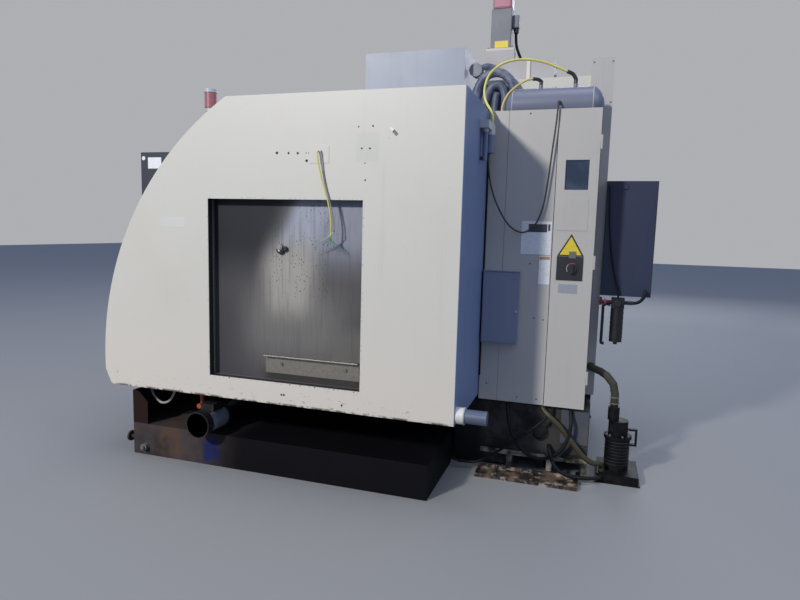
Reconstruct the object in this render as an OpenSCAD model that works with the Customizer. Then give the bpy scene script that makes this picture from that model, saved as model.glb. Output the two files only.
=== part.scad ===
// Vertical machining centre with a curved sheet-metal enclosure.
// X runs to the machine's right, Y to its rear, Z up. The floor is Z = 0.

/* [Enclosure] */
// Width over the two flat side panels
enclosure_w = 2800; // [2700:10:2900]
// Height of the enclosure's lower edge above the floor
enclosure_bottom = 472; // [460:1:485]
// Height of the enclosure's flat roof above the floor
enclosure_top = 2210; // [2190:5:2240]
// Rear face of the enclosure
enclosure_rear = 708; // [704:1:710]
// Radius of the curved front
curve_r = 1850; // [1830:5:1860]
// Height of the curve's centre
curve_z = 623; // [610:1:640]
// Foremost line of the curved front
front_y = -1565; // [-1575:1:-1555]
// Thickness of the sheet metal
sheet = 3; // [2:0.5:4]
// Depth of the folded side panels
panel_depth = 65; // [50:1:80]
// Height of the joint between roof and front panels
roof_joint_z = 1985; // [1975:1:1995]
// Height of the top of the front sill
sill_z = 850; // [840:1:860]

/* [Side window] */
// Front edge of the recess in the right side panel
recess_y0 = -790; // [-820:1:-760]
// Rear edge of the recess
recess_y1 = 172; // [150:1:190]
// Lower edge of the recess
recess_z0 = 601; // [590:1:630]
// Upper edge of the recess
recess_z1 = 1643; // [1600:1:1680]
// Width that the inner cover laps over the recess's frame
cover_lap = 30; // [20:1:40]

/* [Front doors] */
// Outer edge of each sliding door, from the middle
door_w = 680; // [675:1:690]
// Inner edge of the fixed panels beside the doors
door_bay = 665; // [660:1:668]
// Depth of a door's folded edge
door_depth = 22; // [18:1:26]
// Radial gap between a door and the fixed skin
door_gap = 6; // [5:0.5:8]
// Height that a door laps below the top of the front sill
door_lap_low = 21; // [19:1:26]
// Height that a door laps above the roof's front joint
door_lap_high = 13; // [11:1:20]
// Height of the door glass's lower edge
glass_z0 = 1405; // [1380:5:1430]
// Height of the door glass's upper edge
glass_z1 = 1837; // [1800:1:1850]
// Thickness of the door glass
glass_t = 6; // [4:0.5:8]

/* [Base] */
// Width of the front bed
bed_w = 920; // [900:10:940]
// Front end of the bed
bed_front = -760; // [-770:5:-750]
// Width of the rear bed under the column
rear_bed_w = 1360; // [1340:10:1380]
// Front of the rear bed
rear_bed_front = 560; // [555:1:565]
// Rear end of the base
base_rear = 1390; // [1380:5:1400]
// Height of the base's machined top
bed_top = 430; // [420:1:440]
// Height of the base's underside, held up by its feet
base_bottom = 30; // [25:1:40]
// Wall thickness of the castings
cast_wall = 40; // [30:1:45]
// Thickness of the bed's top
bed_slab = 110; // [100:1:120]

/* [Column] */
// Width of the column
column_w = 760; // [740:10:780]
// Front face of the column
column_front = 580; // [575:1:585]
// Rear face of the column
column_rear = 1370; // [1360:5:1375]
// Top of the column
column_top = 2470; // [2450:5:2490]

/* [Guides and screws] */
// Width of a guide rail
rail_w = 45; // [35:1:50]
// Height of a guide rail
rail_h = 50; // [45:1:55]
// Half the spacing of the bed's rails
bed_rail_x = 330; // [320:5:340]
// Half the spacing of the column's rails
column_rail_x = 250; // [240:5:260]
// Radius of the two horizontal ball screws
screw_r = 20; // [16:1:22]
// Radius of the vertical ball screw
lift_screw_r = 25; // [20:1:28]
// Sliding clearance of the guides
slide_gap = 0.3; // [0.2:0.05:0.5]
// Running clearance of shafts in their bores
run_gap = 0.05; // [0.02:0.01:0.08]

/* [Saddle and table] */
// Length of the saddle along X
saddle_w = 1240; // [1220:10:1260]
// Depth of the saddle along Y
saddle_d = 660; // [640:10:670]
// Height of the saddle's body
saddle_h = 250; // [240:1:260]
// Length of the table along X
table_w = 1400; // [1380:10:1420]
// Depth of the table along Y
table_d = 600; // [580:10:610]
// Height of the table's body
table_h = 145; // [140:1:160]
// Number of T-slots
slot_count = 5; // [3:1:5]
// Pitch of the T-slots
slot_pitch = 110; // [90:1:115]
// Width of a T-slot's mouth
slot_w = 18; // [14:1:22]

/* [Head] */
// Distance of the spindle behind the origin
spindle_y = -75; // [-80:1:-70]
// Height of the spindle nose
nose_z = 1610; // [1600:1:1630]
// Width of the head casting
head_w = 340; // [320:5:360]
// Width of the head cover
cover_w = 540; // [520:5:550]
// Front face of the head cover
cover_y0 = -270; // [-280:1:-250]
// Rear face of the head cover
cover_y1 = 448; // [440:1:449]
// Top of the head cover
cover_top = 2720; // [2700:5:2740]
// Radius of the spindle shaft
spindle_r = 60; // [50:1:65]

/* [Tool changer] */
// Distance of the changer arm's shaft from the middle
arm_x = 330; // [320:1:340]
// Reach of the changer arm
arm_reach = 330; // [300:1:335]
// Height of the middle of the magazine
magazine_z = 1780; // [1770:1:1800]
// Radius of the circle of tool pots
pot_circle_r = 300; // [290:1:305]
// Number of tool pots
pot_count = 16; // [12:1:18]
// Outer radius of a tool pot
pot_r = 40; // [34:1:44]

/* [Electrical cabinet] */
// Outer face of the cabinet's fixed cover
cabinet_x1 = 720; // [715:1:730]
// Back of the cabinet
cabinet_x0 = 420; // [418:1:430]
// Front side of the cabinet
cabinet_y0 = 713; // [712:1:716]
// Rear side of the cabinet
cabinet_y1 = 1352; // [1345:1:1355]
// Lower edge of the cabinet
cabinet_z0 = 447; // [440:1:455]
// Roof of the cabinet's body
cabinet_roof = 2130; // [2120:1:2140]
// Front edge of the cabinet's door
cabinet_door_y0 = 1116; // [1110:1:1125]

/* [Air tank] */
// Radius of the air tank
tank_r = 105; // [95:1:110]
// Front end of the air tank
tank_y0 = 773; // [765:1:780]
// Rear end of the air tank
tank_y1 = 1359; // [1350:1:1365]
// Height of the air tank's middle
tank_z = 2250; // [2245:1:2260]
// Distance of the air tank from the middle
tank_x = 600; // [590:1:605]

/* [Coolant tank] */
// Side faces of the coolant tank
coolant_w = 2640; // [2600:10:2660]
// Front face of the coolant tank
coolant_front = -1430; // [-1440:1:-1420]
// Rear end of the coolant tank's arms
coolant_rear = 550; // [540:1:555]
// Height of the coolant tank
coolant_h = 205; // [195:1:206]
// Height of the front upstand
upstand_h = 420; // [400:1:440]
// Height of the chip auger's axis
auger_z = 288; // [286:1:292]
// Radius of the chip auger's flight
auger_r = 50; // [40:1:52]

/* [Operator panel] */
// Width of the operator panel
pendant_w = 450; // [420:5:470]
// Distance from the operator panel to the side panel's face
pendant_inset = 480; // [470:5:490]
// Depth of the operator panel
pendant_depth = 248; // [240:1:256]
// Rear face of the operator panel
pendant_back = -1420; // [-1425:1:-1415]
// Lower edge of the operator panel
pendant_z0 = 1420; // [1415:1:1440]
// Upper edge of the operator panel
pendant_z1 = 1975; // [1950:5:2000]

/* [Rear equipment] */
// Front face of the rear box
rear_box_y0 = 1405; // [1400:1:1410]
// Depth of the rear box
rear_box_d = 295; // [285:1:300]
// Lower edge of the rear box
rear_box_z0 = 1118; // [1116:1:1130]
// Upper edge of the rear box
rear_box_z1 = 1822; // [1800:1:1840]
// Right side of the rear box
rear_box_x1 = 450; // [440:1:455]

/* [Motor tower and switch box] */
// Distance of the rear feet from the side of the base
foot_inset = 30; // [28:1:32]
// Width of the tower under the vertical motor
tower_w = 190; // [186:2:194]
// Front of the tower
tower_y0 = 555; // [552:1:558]
// Back of the tower
tower_y1 = 750; // [746:1:754]
// Top of the tower
tower_z1 = 2735; // [2725:1:2745]
// Thickness of the plate under the tower
tower_foot = 30; // [28:1:32]
// Back of the beam behind the tower
beam_y1 = 1025; // [1020:1:1030]
// Top of the beam behind the tower
beam_z1 = 2660; // [2655:1:2665]
// Back of the two ribs behind the beam
rib_y1 = 1180; // [1175:1:1185]
// Top of the two ribs
rib_z1 = 2560; // [2555:1:2565]
// Height of the vertical motor's body over its flange
servo_h = 285; // [280:1:290]
// Radius of the vertical motor's body
servo_r = 76; // [74:1:78]
// Thickness of the vertical motor's flange
servo_flange = 18; // [16:1:20]
// Height of the red cap on the motor
servo_cap_h = 140; // [136:1:144]
// Size of the small square motor under the bed
small_motor_w = 110; // [106:2:114]
// Front of the switch box
switch_box_y0 = 720; // [719:1:722]
// Length of the switch box
switch_box_l = 219; // [217:1:221]
// Lower edge of the switch box
switch_box_z0 = 820; // [815:1:825]
// Height of the switch box
switch_box_h = 438; // [435:1:441]
// How far the switch box stands out
switch_box_d = 45; // [43:1:47]

/* [Hidden] */

half_w = enclosure_w / 2;
panel_x = half_w - panel_depth;
rear_box_y1 = rear_box_y0 + rear_box_d;
end_gap = 30;
full_x = half_w + end_gap;
curve_y = front_y + curve_r;
toe_run = 45;
toe_rise = 96;
toe_y = front_y + toe_run;
skin_r = curve_r - sheet;
door_r = skin_r - door_gap;
door_angle0 = asin((sill_z - door_lap_low - curve_z) / curve_r);
door_angle1 = asin((roof_joint_z + door_lap_high - curve_z) / curve_r);
glass_angle0 = asin((glass_z0 - curve_z) / curve_r);
glass_angle1 = asin((glass_z1 - curve_z) / curve_r);
bed_x = bed_w / 2;
rear_bed_x = rear_bed_w / 2;
column_x = column_w / 2;
saddle_z0 = bed_top + rail_h - 40;
saddle_z1 = saddle_z0 + saddle_h;
saddle_y0 = spindle_y - saddle_d / 2;
saddle_y1 = spindle_y + saddle_d / 2;
way_h = 45;
way_y = 200;
table_z0 = saddle_z1 + way_h - 20;
table_z1 = table_z0 + table_h;
screw_x_z = saddle_z1 - 45;
screw_y_z = bed_top - 25;
screw_z_y = column_front + 70;
head_z0 = nose_z + 90;
head_z1 = head_z0 + 560;
pan_z = enclosure_bottom + sheet;
auger_y = -861;
auger_motor_r = 80;
trough_x0 = 150 - half_w;
trough_x1 = half_w - 220;
pot_x0 = -910;
pot_x1 = -750;
disc_x0 = -795;
disc_x1 = -765;
hub_x = -690;
arm_z0 = 1500;
arm_z1 = 1540;
duct_x0 = column_x + 4;
duct_x1 = cabinet_x0 - 4;
hinge_x = cabinet_x1 + 2;
hinge_r = 6;
hinge_y = cabinet_y1 + hinge_r + 0.5;
lip_z = enclosure_top;
switch_y = 1236;
switch_z = 1291;
pendant_front = pendant_back - pendant_depth;
pendant_x1 = half_w - pendant_inset;
pendant_x0 = pendant_x1 - pendant_w;
pivot_x = pendant_x1 - 25;
pivot_y = pendant_back - 140;
pivot_r = 20;
button_x = [pendant_x0 + 70, pendant_x0 + 170, pendant_x0 + 290];
hinge_heights = [640, 1330, 2020];
lamp_x = half_w - 300;
lamp_y = -972;
lamp_z = round(curve_z + sqrt(curve_r * curve_r - (lamp_y - curve_y) * (lamp_y - curve_y)));

cream = [0.80, 0.79, 0.75];
slate = [0.27, 0.33, 0.46];
dark_slate = [0.20, 0.23, 0.30];
cast_grey = [0.50, 0.51, 0.53];
bare_steel = [0.62, 0.62, 0.61];
bright_steel = [0.75, 0.76, 0.78];
near_black = [0.10, 0.10, 0.11];
hose_yellow = [0.85, 0.78, 0.25];
pale_grey = [0.72, 0.73, 0.75];

// Routes of the hoses and cables
hose_long_route = [[600, 1190, 2385], [600, 1190, 2400], [606, 1172, 2428], [622, 1105, 2458], [645, 1015, 2492],
    [670, 925, 2508], [690, 840, 2505], [710, 765, 2480], [725, 705, 2430], [735, 680, 2370], [740, 675, 2310],
    [748, 692, 2254], [768, 724, 2204], [793, 740, 2160], [800, 742, 2135], [800, 742, 2125]];
hose_short_route = [[600, 990, 2385], [600, 990, 2397], [610, 968, 2408], [632, 915, 2402], [650, 860, 2370],
    [672, 810, 2320], [686, 782, 2260], [690, 775, 2200], [690, 775, 2150]];
loop_route = [[722, 1108, 2250], [736, 1108, 2250], [747, 1107, 2225], [750, 1101, 2120], [750, 1088, 1980],
    [750, 1072, 1800], [750, 1050, 1640], [750, 1010, 1540], [750, 955, 1498], [750, 895, 1508], [750, 838, 1560],
    [750, 785, 1650], [750, 745, 1750], [747, 724, 1850], [743, 716, 1930], [743, 716, 1958]];
corner_route = [[727, 714, 1958], [727, 714, 1500], [727, 714, 1050], [727, 714, 600]];
rear_route = [[450, 1418, 1795], [462, 1418, 1795], [475, 1420, 1788], [482, 1424, 1750], [486, 1430, 1600],
    [488, 1452, 1400], [486, 1485, 1230], [474, 1511, 1150], [470, 1512, 1122], [470, 1512, 1108]];
base_loop_route = [[700, 897, 447], [700, 897, 428], [718, 902, 385], [742, 930, 270], [742, 985, 175],
    [742, 1060, 122], [742, 1140, 118], [742, 1215, 165], [742, 1265, 245], [738, 1284, 340], [708, 1279, 400],
    [700, 1278, 428], [700, 1278, 447]];
base_hose_route = [[680, 1160, 185], [702, 1160, 185], [740, 1172, 155], [765, 1200, 95], [772, 1250, 55],
    [774, 1330, 42], [765, 1400, 42], [738, 1448, 41], [708, 1470, 40], [690, 1470, 40]];
cross_route = [[790, 550, 60], [790, 572, 60], [782, 650, 45], [768, 740, 58], [762, 873, 145], [762, 1020, 266],
    [748, 1120, 358], [710, 1165, 405], [700, 1170, 428], [700, 1170, 447]];
olive_route = [[699, 1110, 447], [699, 1110, 428], [712, 1128, 405], [728, 1160, 380], [732, 1218, 330],
    [732, 1296, 240], [730, 1360, 165], [716, 1415, 125], [684, 1457, 112], [656, 1474, 92], [650, 1476, 72],
    [650, 1476, 55]];
white_loop_route = [[1200, -1392, 475], [1200, -1392, 445], [1200, -1370, 365], [1200, -1310, 318],
    [1200, -1245, 335], [1200, -1203, 400], [1200, -1195, 450], [1200, -1195, 475]];
yellow_route = [[1402, -88, 1900], [1412, -88, 1900], [1421, -86, 1885], [1421, -76, 1820], [1415, -51, 1720],
    [1412, -27, 1640], [1410, -10, 1560], [1410, -6, 1500], [1410, -8, 1440]];
grey_route = [[1402, -72, 1900], [1408, -72, 1900], [1413, -69, 1885], [1411, -60, 1800], [1410, -40, 1710],
    [1410, -12, 1620], [1410, 8, 1530], [1410, 12, 1470]];

function unit(v) = v / norm(v);
function square_to(v, t) = unit(v - (v * t) * t);
function tangent(p, i) = unit(p[min(i + 1, len(p) - 1)] - p[max(i - 1, 0)]);
function side_vector(p, i) = i == 0
    ? square_to(abs(tangent(p, 0)[0]) < 0.8 ? [1, 0, 0] : [0, 1, 0], tangent(p, 0))
    : square_to(side_vector(p, i - 1), tangent(p, i));
function ring(p, i, r, n) = let (t = tangent(p, i), u = side_vector(p, i), v = cross(t, u))
    [for (k = [0:n - 1]) p[i] + r * cos(360 * k / n) * u + r * sin(360 * k / n) * v];

// A round tube swept along a route
module tube(route, r, n = 8) {
    last = len(route) - 1;
    points = [for (i = [0:last]) each ring(route, i, r, n)];
    sides = [for (i = [0:last - 1]) for (k = [0:n - 1])
        [i * n + k, (i + 1) * n + k, (i + 1) * n + (k + 1) % n, i * n + (k + 1) % n]];
    start = [for (k = [0:n - 1]) k];
    end = [for (k = [n - 1:-1:0]) last * n + k];
    polyhedron(points, concat(sides, [start, end]));
}

module block(x0, x1, y0, y1, z0, z1) {
    translate([x0, y0, z0]) cube([x1 - x0, y1 - y0, z1 - z0]);
}

// Extrudes a (Y, Z) outline from x0 to x1
module span_x(x0, x1) {
    translate([x0, 0, 0]) rotate([90, 0, 90]) linear_extrude(height = x1 - x0) children();
}

module rod_x(x0, x1, y, z, r) {
    translate([x0, y, z]) rotate([0, 90, 0]) cylinder(r = r, h = x1 - x0, $fn = 48);
}

module rod_y(y0, y1, x, z, r) {
    translate([x, y0, z]) rotate([-90, 0, 0]) cylinder(r = r, h = y1 - y0, $fn = 48);
}

module rod_z(z0, z1, x, y, r) {
    translate([x, y, z0]) cylinder(r = r, h = z1 - z0, $fn = 48);
}

module both_sides() {
    children();
    mirror([1, 0, 0]) children();
}

// The enclosure's side view, moved inwards by i
module side_outline(i = 0) {
    toe_len = norm([toe_run, toe_rise]);
    low_y = toe_y + i * (toe_len - toe_run) / toe_rise;
    reach = 5;
    intersection() {
        translate([curve_y, curve_z]) circle(r = curve_r - i, $fn = 180);
        polygon([[low_y, enclosure_bottom + i], [enclosure_rear - i, enclosure_bottom + i],
            [enclosure_rear - i, enclosure_top - i], [low_y - reach * toe_run, enclosure_top - i],
            [low_y - reach * toe_run, enclosure_bottom + i + reach * toe_rise]]);
    }
}

module skin_outline() {
    difference() {
        side_outline(0);
        side_outline(sheet);
    }
}

function on_curve(a) = [-cos(a), sin(a)];

// A band between two radii and two angles of the front's curve
module arc_band(r0, r1, a0, a1) {
    far = 2 * curve_r;
    translate([curve_y, curve_z]) intersection() {
        difference() {
            circle(r = r1, $fn = 180);
            circle(r = r0, $fn = 180);
        }
        polygon([[0, 0], far * on_curve(a0), far * on_curve((a0 + a1) / 2), far * on_curve(a1)]);
    }
}

// Places a profile on the curve: its x points outwards and its -y points up
module at_arc(a) {
    translate([curve_y, curve_z]) rotate(180 - a) children();
}

module side_tray() {
    difference() {
        span_x(panel_x, half_w) side_outline(0);
        span_x(panel_x - 1, half_w - sheet) side_outline(sheet);
    }
}

module recess(grow) {
    translate([recess_y0 - grow, recess_z0 - grow])
        square([recess_y1 - recess_y0 + 2 * grow, recess_z1 - recess_z0 + 2 * grow]);
}

module side_panel_right() {
    color(cream) {
        difference() {
            side_tray();
            span_x(panel_x - 1, half_w + 1) recess(0);
        }
        span_x(panel_x, half_w) difference() {
            recess(sheet);
            recess(0);
        }
        block(half_w, half_w + 2, -140, -27, 1838, 1929);
    }
}

module side_panel_left() {
    bulge_y0 = -560;
    bulge_y1 = 260;
    bulge_z0 = 1250;
    bulge_z1 = 2090;
    color(cream) difference() {
        union() {
            mirror([1, 0, 0]) side_tray();
            block(-full_x, -half_w + sheet, bulge_y0, bulge_y1, bulge_z0, bulge_z1);
        }
        block(-full_x + sheet, -half_w + sheet + 1, bulge_y0 + sheet, bulge_y1 - sheet,
            bulge_z0 + sheet, bulge_z1 - sheet);
    }
}

// Bare steel sheet that closes the recess from inside, with its knob
module inner_cover() {
    knob_y = -347;
    knob_z = 1377;
    color(bare_steel) span_x(panel_x - sheet, panel_x) recess(cover_lap);
    color(near_black) {
        rod_x(panel_x, panel_x + 26, knob_y, knob_z, 17);
        rod_x(panel_x + 25, panel_x + 29, knob_y, knob_z, 11);
    }
}

module angle_plate() {
    plate_y0 = -446;
    plate_y1 = 144;
    plate_z0 = 640;
    plate_z1 = 747;
    color(pale_grey) {
        block(panel_x, panel_x + 4, plate_y0, plate_y1, plate_z0, plate_z1);
        block(panel_x, panel_x + 28, plate_y0, plate_y1, plate_z1 - 4, plate_z1);
        for (y = [-340, 63]) rod_x(panel_x + 4, panel_x + 11, y, 697, 9);
    }
}

module front_clip(top_z) {
    lip_y = toe_y + 25;
    low_z = enclosure_bottom - 50;
    left_y = curve_y - curve_r - 50;
    polygon([[left_y, low_z], [lip_y, low_z], [lip_y, 700], [top_z > 1000 ? -900 : lip_y, top_z],
        [left_y, top_z]]);
}

module front_end_panels() {
    color(cream) both_sides() span_x(door_bay, panel_x) intersection() {
        skin_outline();
        front_clip(roof_joint_z);
    }
}

// A door's running groove on the curve; way is -1 for the top rail and 1 for the bottom one
module door_rail(way) {
    tongue_r = door_r - door_depth / 2 - 4;
    y0 = way > 0 ? 4 : -30;
    slot_y0 = way > 0 ? 3 : -18 - slide_gap;
    difference() {
        translate([tongue_r - 8, y0]) square([skin_r - 0.3 - tongue_r + 8, 26]);
        translate([tongue_r - 2 - slide_gap, slot_y0]) square([4 + 2 * slide_gap, 15 + slide_gap]);
    }
}

module front_sill() {
    color(cream) {
        span_x(-door_bay, door_bay) intersection() {
            skin_outline();
            front_clip(sill_z);
        }
        span_x(-panel_x, panel_x) at_arc(door_angle0) door_rail(1);
        span_x(-door_bay, door_bay) at_arc(door_angle0) translate([skin_r - 5, 8]) square([6, 18]);
    }
}

module roof_panel() {
    hole_x = 330;
    color(cream) {
        difference() {
            span_x(-panel_x, panel_x) intersection() {
                skin_outline();
                translate([curve_y - curve_r - 50, roof_joint_z])
                    square([enclosure_rear - sheet - curve_y + curve_r + 50, enclosure_top - roof_joint_z + 10]);
            }
            block(-hole_x, hole_x, -340, enclosure_rear, enclosure_top - 2 * sheet, enclosure_top + 1);
            block(-column_x - 2, column_x + 2, column_front - 2, enclosure_rear, enclosure_top - 2 * sheet,
                enclosure_top + 1);
        }
        span_x(-panel_x, panel_x) at_arc(door_angle1) {
            door_rail(-1);
            translate([skin_r - 5, -26]) square([6, 18]);
        }
    }
}

module rear_walls() {
    wall_x = column_x + 25;
    color(slate) both_sides() {
        block(wall_x, panel_x, enclosure_rear - sheet, enclosure_rear, enclosure_bottom, enclosure_top);
        block(wall_x, wall_x + sheet, enclosure_rear - 28, enclosure_rear - 1, enclosure_bottom,
            enclosure_top - 2 * sheet);
    }
}

module splash_pan() {
    pan_x = half_w - 20;
    hole_x = saddle_w / 2 + 30;
    color(cast_grey) difference() {
        block(-pan_x, pan_x, toe_y + 20, enclosure_rear - 30, pan_z, pan_z + sheet);
        block(-hole_x, hole_x, bed_front - 10, rear_bed_front - 5, pan_z - 1, pan_z + sheet + 1);
        block(trough_x0 + 10, trough_x1 - 10, auger_y - auger_r, auger_y + auger_r, pan_z - 1, pan_z + sheet + 1);
        block(-column_x - 95, column_x + 95, rear_bed_front - 6, enclosure_rear, pan_z - 1, pan_z + sheet + 1);
    }
}

module door_body() {
    tongue_r = door_r - door_depth / 2 - 4;
    x0 = 2;
    glass_x0 = 110;
    glass_x1 = 570;
    difference() {
        span_x(x0, door_w) arc_band(door_r - sheet, door_r, door_angle0, door_angle1);
        span_x(glass_x0, glass_x1) arc_band(door_r - 2 * sheet, door_r + sheet, glass_angle0, glass_angle1);
    }
    for (x = [x0, door_w - sheet])
        span_x(x, x + sheet) arc_band(door_r - door_depth, door_r, door_angle0, door_angle1);
    span_x(x0, door_w) {
        at_arc(door_angle1) translate([door_r - door_depth + 1, -0.5]) square([door_depth - 2, sheet + 1]);
        at_arc(door_angle0) translate([door_r - door_depth + 1, -sheet - 0.5]) square([door_depth - 2, sheet + 1]);
        at_arc(door_angle1) translate([tongue_r - 2, -18]) square([4, 19]);
        at_arc(door_angle0) translate([tongue_r - 2, -1]) square([4, 19 - slide_gap]);
    }
    span_x(20, 44) difference() {
        arc_band(door_r - 1, door_r + 55, 12, 23);
        arc_band(door_r - 2, door_r + 37, 13, 22);
    }
}

module door_glass() {
    seat = 0.3;
    span_x(90, 590)
        arc_band(door_r - sheet - seat - glass_t, door_r - sheet - seat, glass_angle0 - 0.6, glass_angle1 + 0.6);
}

module door_right() {
    color(cream) door_body();
}

module window_right() {
    color([0.35, 0.42, 0.45, 0.6]) door_glass();
}

module door_left() {
    color(cream) mirror([1, 0, 0]) door_body();
}

module window_left() {
    color([0.35, 0.42, 0.45, 0.6]) mirror([1, 0, 0]) door_glass();
}

// Cuts a grid of pockets, with walls between, into the underside of a casting
module pocket_grid(x0, x1, y0, y1, nx, ny, top) {
    step_x = (x1 - x0 - cast_wall) / nx;
    step_y = (y1 - y0 - cast_wall) / ny;
    for (i = [0:nx - 1]) for (j = [0:ny - 1])
        translate([x0 + cast_wall + i * step_x, y0 + cast_wall + j * step_y, base_bottom - 1])
            cube([step_x - cast_wall, step_y - cast_wall, top - base_bottom + 1]);
}

module base_casting() {
    flange_z = 100;
    leg_y = [905, 1150, 1358];
    pad_z = pan_z;
    hole_x = saddle_w / 2 + 30;
    color(cream) difference() {
        union() {
            block(-bed_x, bed_x, bed_front, rear_bed_front, base_bottom, bed_top);
            block(-rear_bed_x, rear_bed_x, rear_bed_front, base_rear, base_bottom, bed_top);
            both_sides() {
                block(rear_bed_x - 1, rear_bed_x + 25, 735, base_rear, flange_z, flange_z + 22);
                for (y = leg_y) block(rear_bed_x - 1, rear_bed_x + 25, y, y + 32, base_bottom, flange_z + 1);
                block(600, 660, 600, 675, bed_top - 1, pad_z);
                for (y = [-720, 300]) {
                    block(bed_x - 1, hole_x + 45, y, y + 70, bed_top - 60, bed_top - 8);
                    block(hole_x + 5, hole_x + 45, y, y + 70, bed_top - 9, pad_z);
                }
            }
        }
        pocket_grid(-bed_x, bed_x, bed_front, rear_bed_front, 3, 4, bed_top - bed_slab);
        pocket_grid(-rear_bed_x, rear_bed_x, rear_bed_front, base_rear, 4, 3, bed_top - cast_wall);
        block(-70, 70, bed_front + cast_wall, rear_bed_front - cast_wall, bed_top - 80, bed_top + 1);
        rod_y(bed_front - 1, rear_bed_front - 4, 0, screw_y_z, screw_r + run_gap);
        both_sides() {
            rod_x(rear_bed_x - cast_wall - 1, rear_bed_x + 1, 1105, 255, 50);
            for (span = [[945, 1145], [1190, 1350]])
                block(rear_bed_x - cast_wall - 1, rear_bed_x + 1, span[0], span[1], base_bottom - 1, flange_z - 4);
        }
    }
}

module levelling_feet() {
    places = [for (x = [-1, 1]) each [[x * (bed_x - 20), bed_front + 40], [x * (bed_x - 20), -100],
        [x * (rear_bed_x - foot_inset), rear_bed_front + 50], [x * (rear_bed_x - foot_inset), base_rear - 20]]];
    color(near_black) for (p = places) {
        rod_z(0, base_bottom - 10, p[0], p[1], 44);
        rod_z(base_bottom - 10, base_bottom, p[0], p[1], 14);
    }
}

module column() {
    recess_x = 110;
    recess_y = 740;
    shelf = 50;
    color(cream) {
        difference() {
            union() {
                block(-column_x, column_x, column_front, column_rear, bed_top, column_top);
                block(-column_x, column_x, column_front, base_rear, bed_top, bed_top + 30);
            }
            block(-column_x + 45, column_x - 45, recess_y + 25, column_rear - 45, bed_top - 1, column_top - shelf);
            block(-recess_x, recess_x, column_front - 1, recess_y, 700, column_top + 1);
        }
        difference() {
            block(-recess_x - 1, recess_x + 1, column_front + 20, recess_y + 1, 1120, 1170);
            rod_z(1119, 1171, 0, screw_z_y, lift_screw_r + run_gap);
        }
    }
}

module guide_rails() {
    color(bright_steel) both_sides() {
        block(bed_rail_x - rail_w / 2, bed_rail_x + rail_w / 2, bed_front + 20, rear_bed_front - 20,
            bed_top, bed_top + rail_h);
        block(column_rail_x - rail_w / 2, column_rail_x + rail_w / 2, column_front - rail_h, column_front,
            1150, column_top - 30);
    }
}

module coolant_tank() {
    tank_x1 = coolant_w / 2;
    arm_x0 = 720;
    front_y = bed_front - 15;
    wall = 5;
    return_len = 113;
    module plan(i) {
        difference() {
            translate([-tank_x1 + i, coolant_front + i]) square([2 * (tank_x1 - i), coolant_rear - coolant_front - 2 * i]);
            translate([-arm_x0 - i, front_y - i]) square([2 * (arm_x0 + i), coolant_rear - front_y + 2 * i + 1]);
        }
    }
    color(dark_slate) {
        difference() {
            linear_extrude(height = coolant_h) plan(0);
            translate([0, 0, wall]) linear_extrude(height = coolant_h - 2 * wall) plan(wall);
        }
        block(-tank_x1, tank_x1, coolant_front, coolant_front + sheet, coolant_h - 1, upstand_h);
        both_sides() difference() {
            block(tank_x1 - sheet, tank_x1, coolant_front, coolant_front + return_len, coolant_h - 1, upstand_h);
            translate([tank_x1 - sheet - 1, coolant_front + 40, upstand_h]) rotate([-42, 0, 0])
                cube([sheet + 2, 200, 100]);
        }
        difference() {
            block(trough_x0 - 10, trough_x1 + 10, auger_y - auger_r - 12, auger_y + auger_r + 12,
                coolant_h - 1, auger_z + 45);
            rod_x(trough_x0, trough_x1, auger_y, auger_z, auger_r + 4);
            block(trough_x0, trough_x1, auger_y - auger_r - 4, auger_y + auger_r + 4, auger_z, auger_z + 60);
            rod_x(trough_x0 - 11, trough_x1 + 11, auger_y, auger_z, 18 + run_gap);
        }
        rod_y(coolant_front - 58, coolant_front, tank_x1 - 50, 90, 14);
        rod_y(coolant_front - 70, coolant_front - 58, tank_x1 - 50, 90, 34);
    }
}

module drip_tray() {
    color([0.45, 0.36, 0.27]) difference() {
        block(rear_bed_x + 27, rear_bed_x + 205, 735, 1345, 0, 22);
        block(rear_bed_x + 30, rear_bed_x + 202, 738, 1342, 3, 23);
    }
}

module chip_auger() {
    turns = 7;
    color(bare_steel) {
        rod_x(trough_x0 - 9, trough_x1 + 9, auger_y, auger_z, 18);
        translate([trough_x0 + 10, auger_y, auger_z]) rotate([0, 90, 0])
            linear_extrude(height = trough_x1 - trough_x0 - 20, twist = -360 * turns, slices = 8 * turns)
                square([2 * auger_r, 8], center = true);
    }
}

module auger_motor() {
    color(near_black) {
        rod_x(trough_x1 + 10, trough_x1 + 24, auger_y, auger_z, auger_motor_r);
        rod_x(trough_x1 + 24, full_x - 55, auger_y, auger_z, auger_motor_r - 8);
        rod_x(full_x - 55, full_x, auger_y, auger_z, auger_motor_r);
        block(trough_x1 + 60, trough_x1 + 150, auger_y - 45, auger_y + 45, auger_z + 60, auger_z + 105);
    }
}

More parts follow.
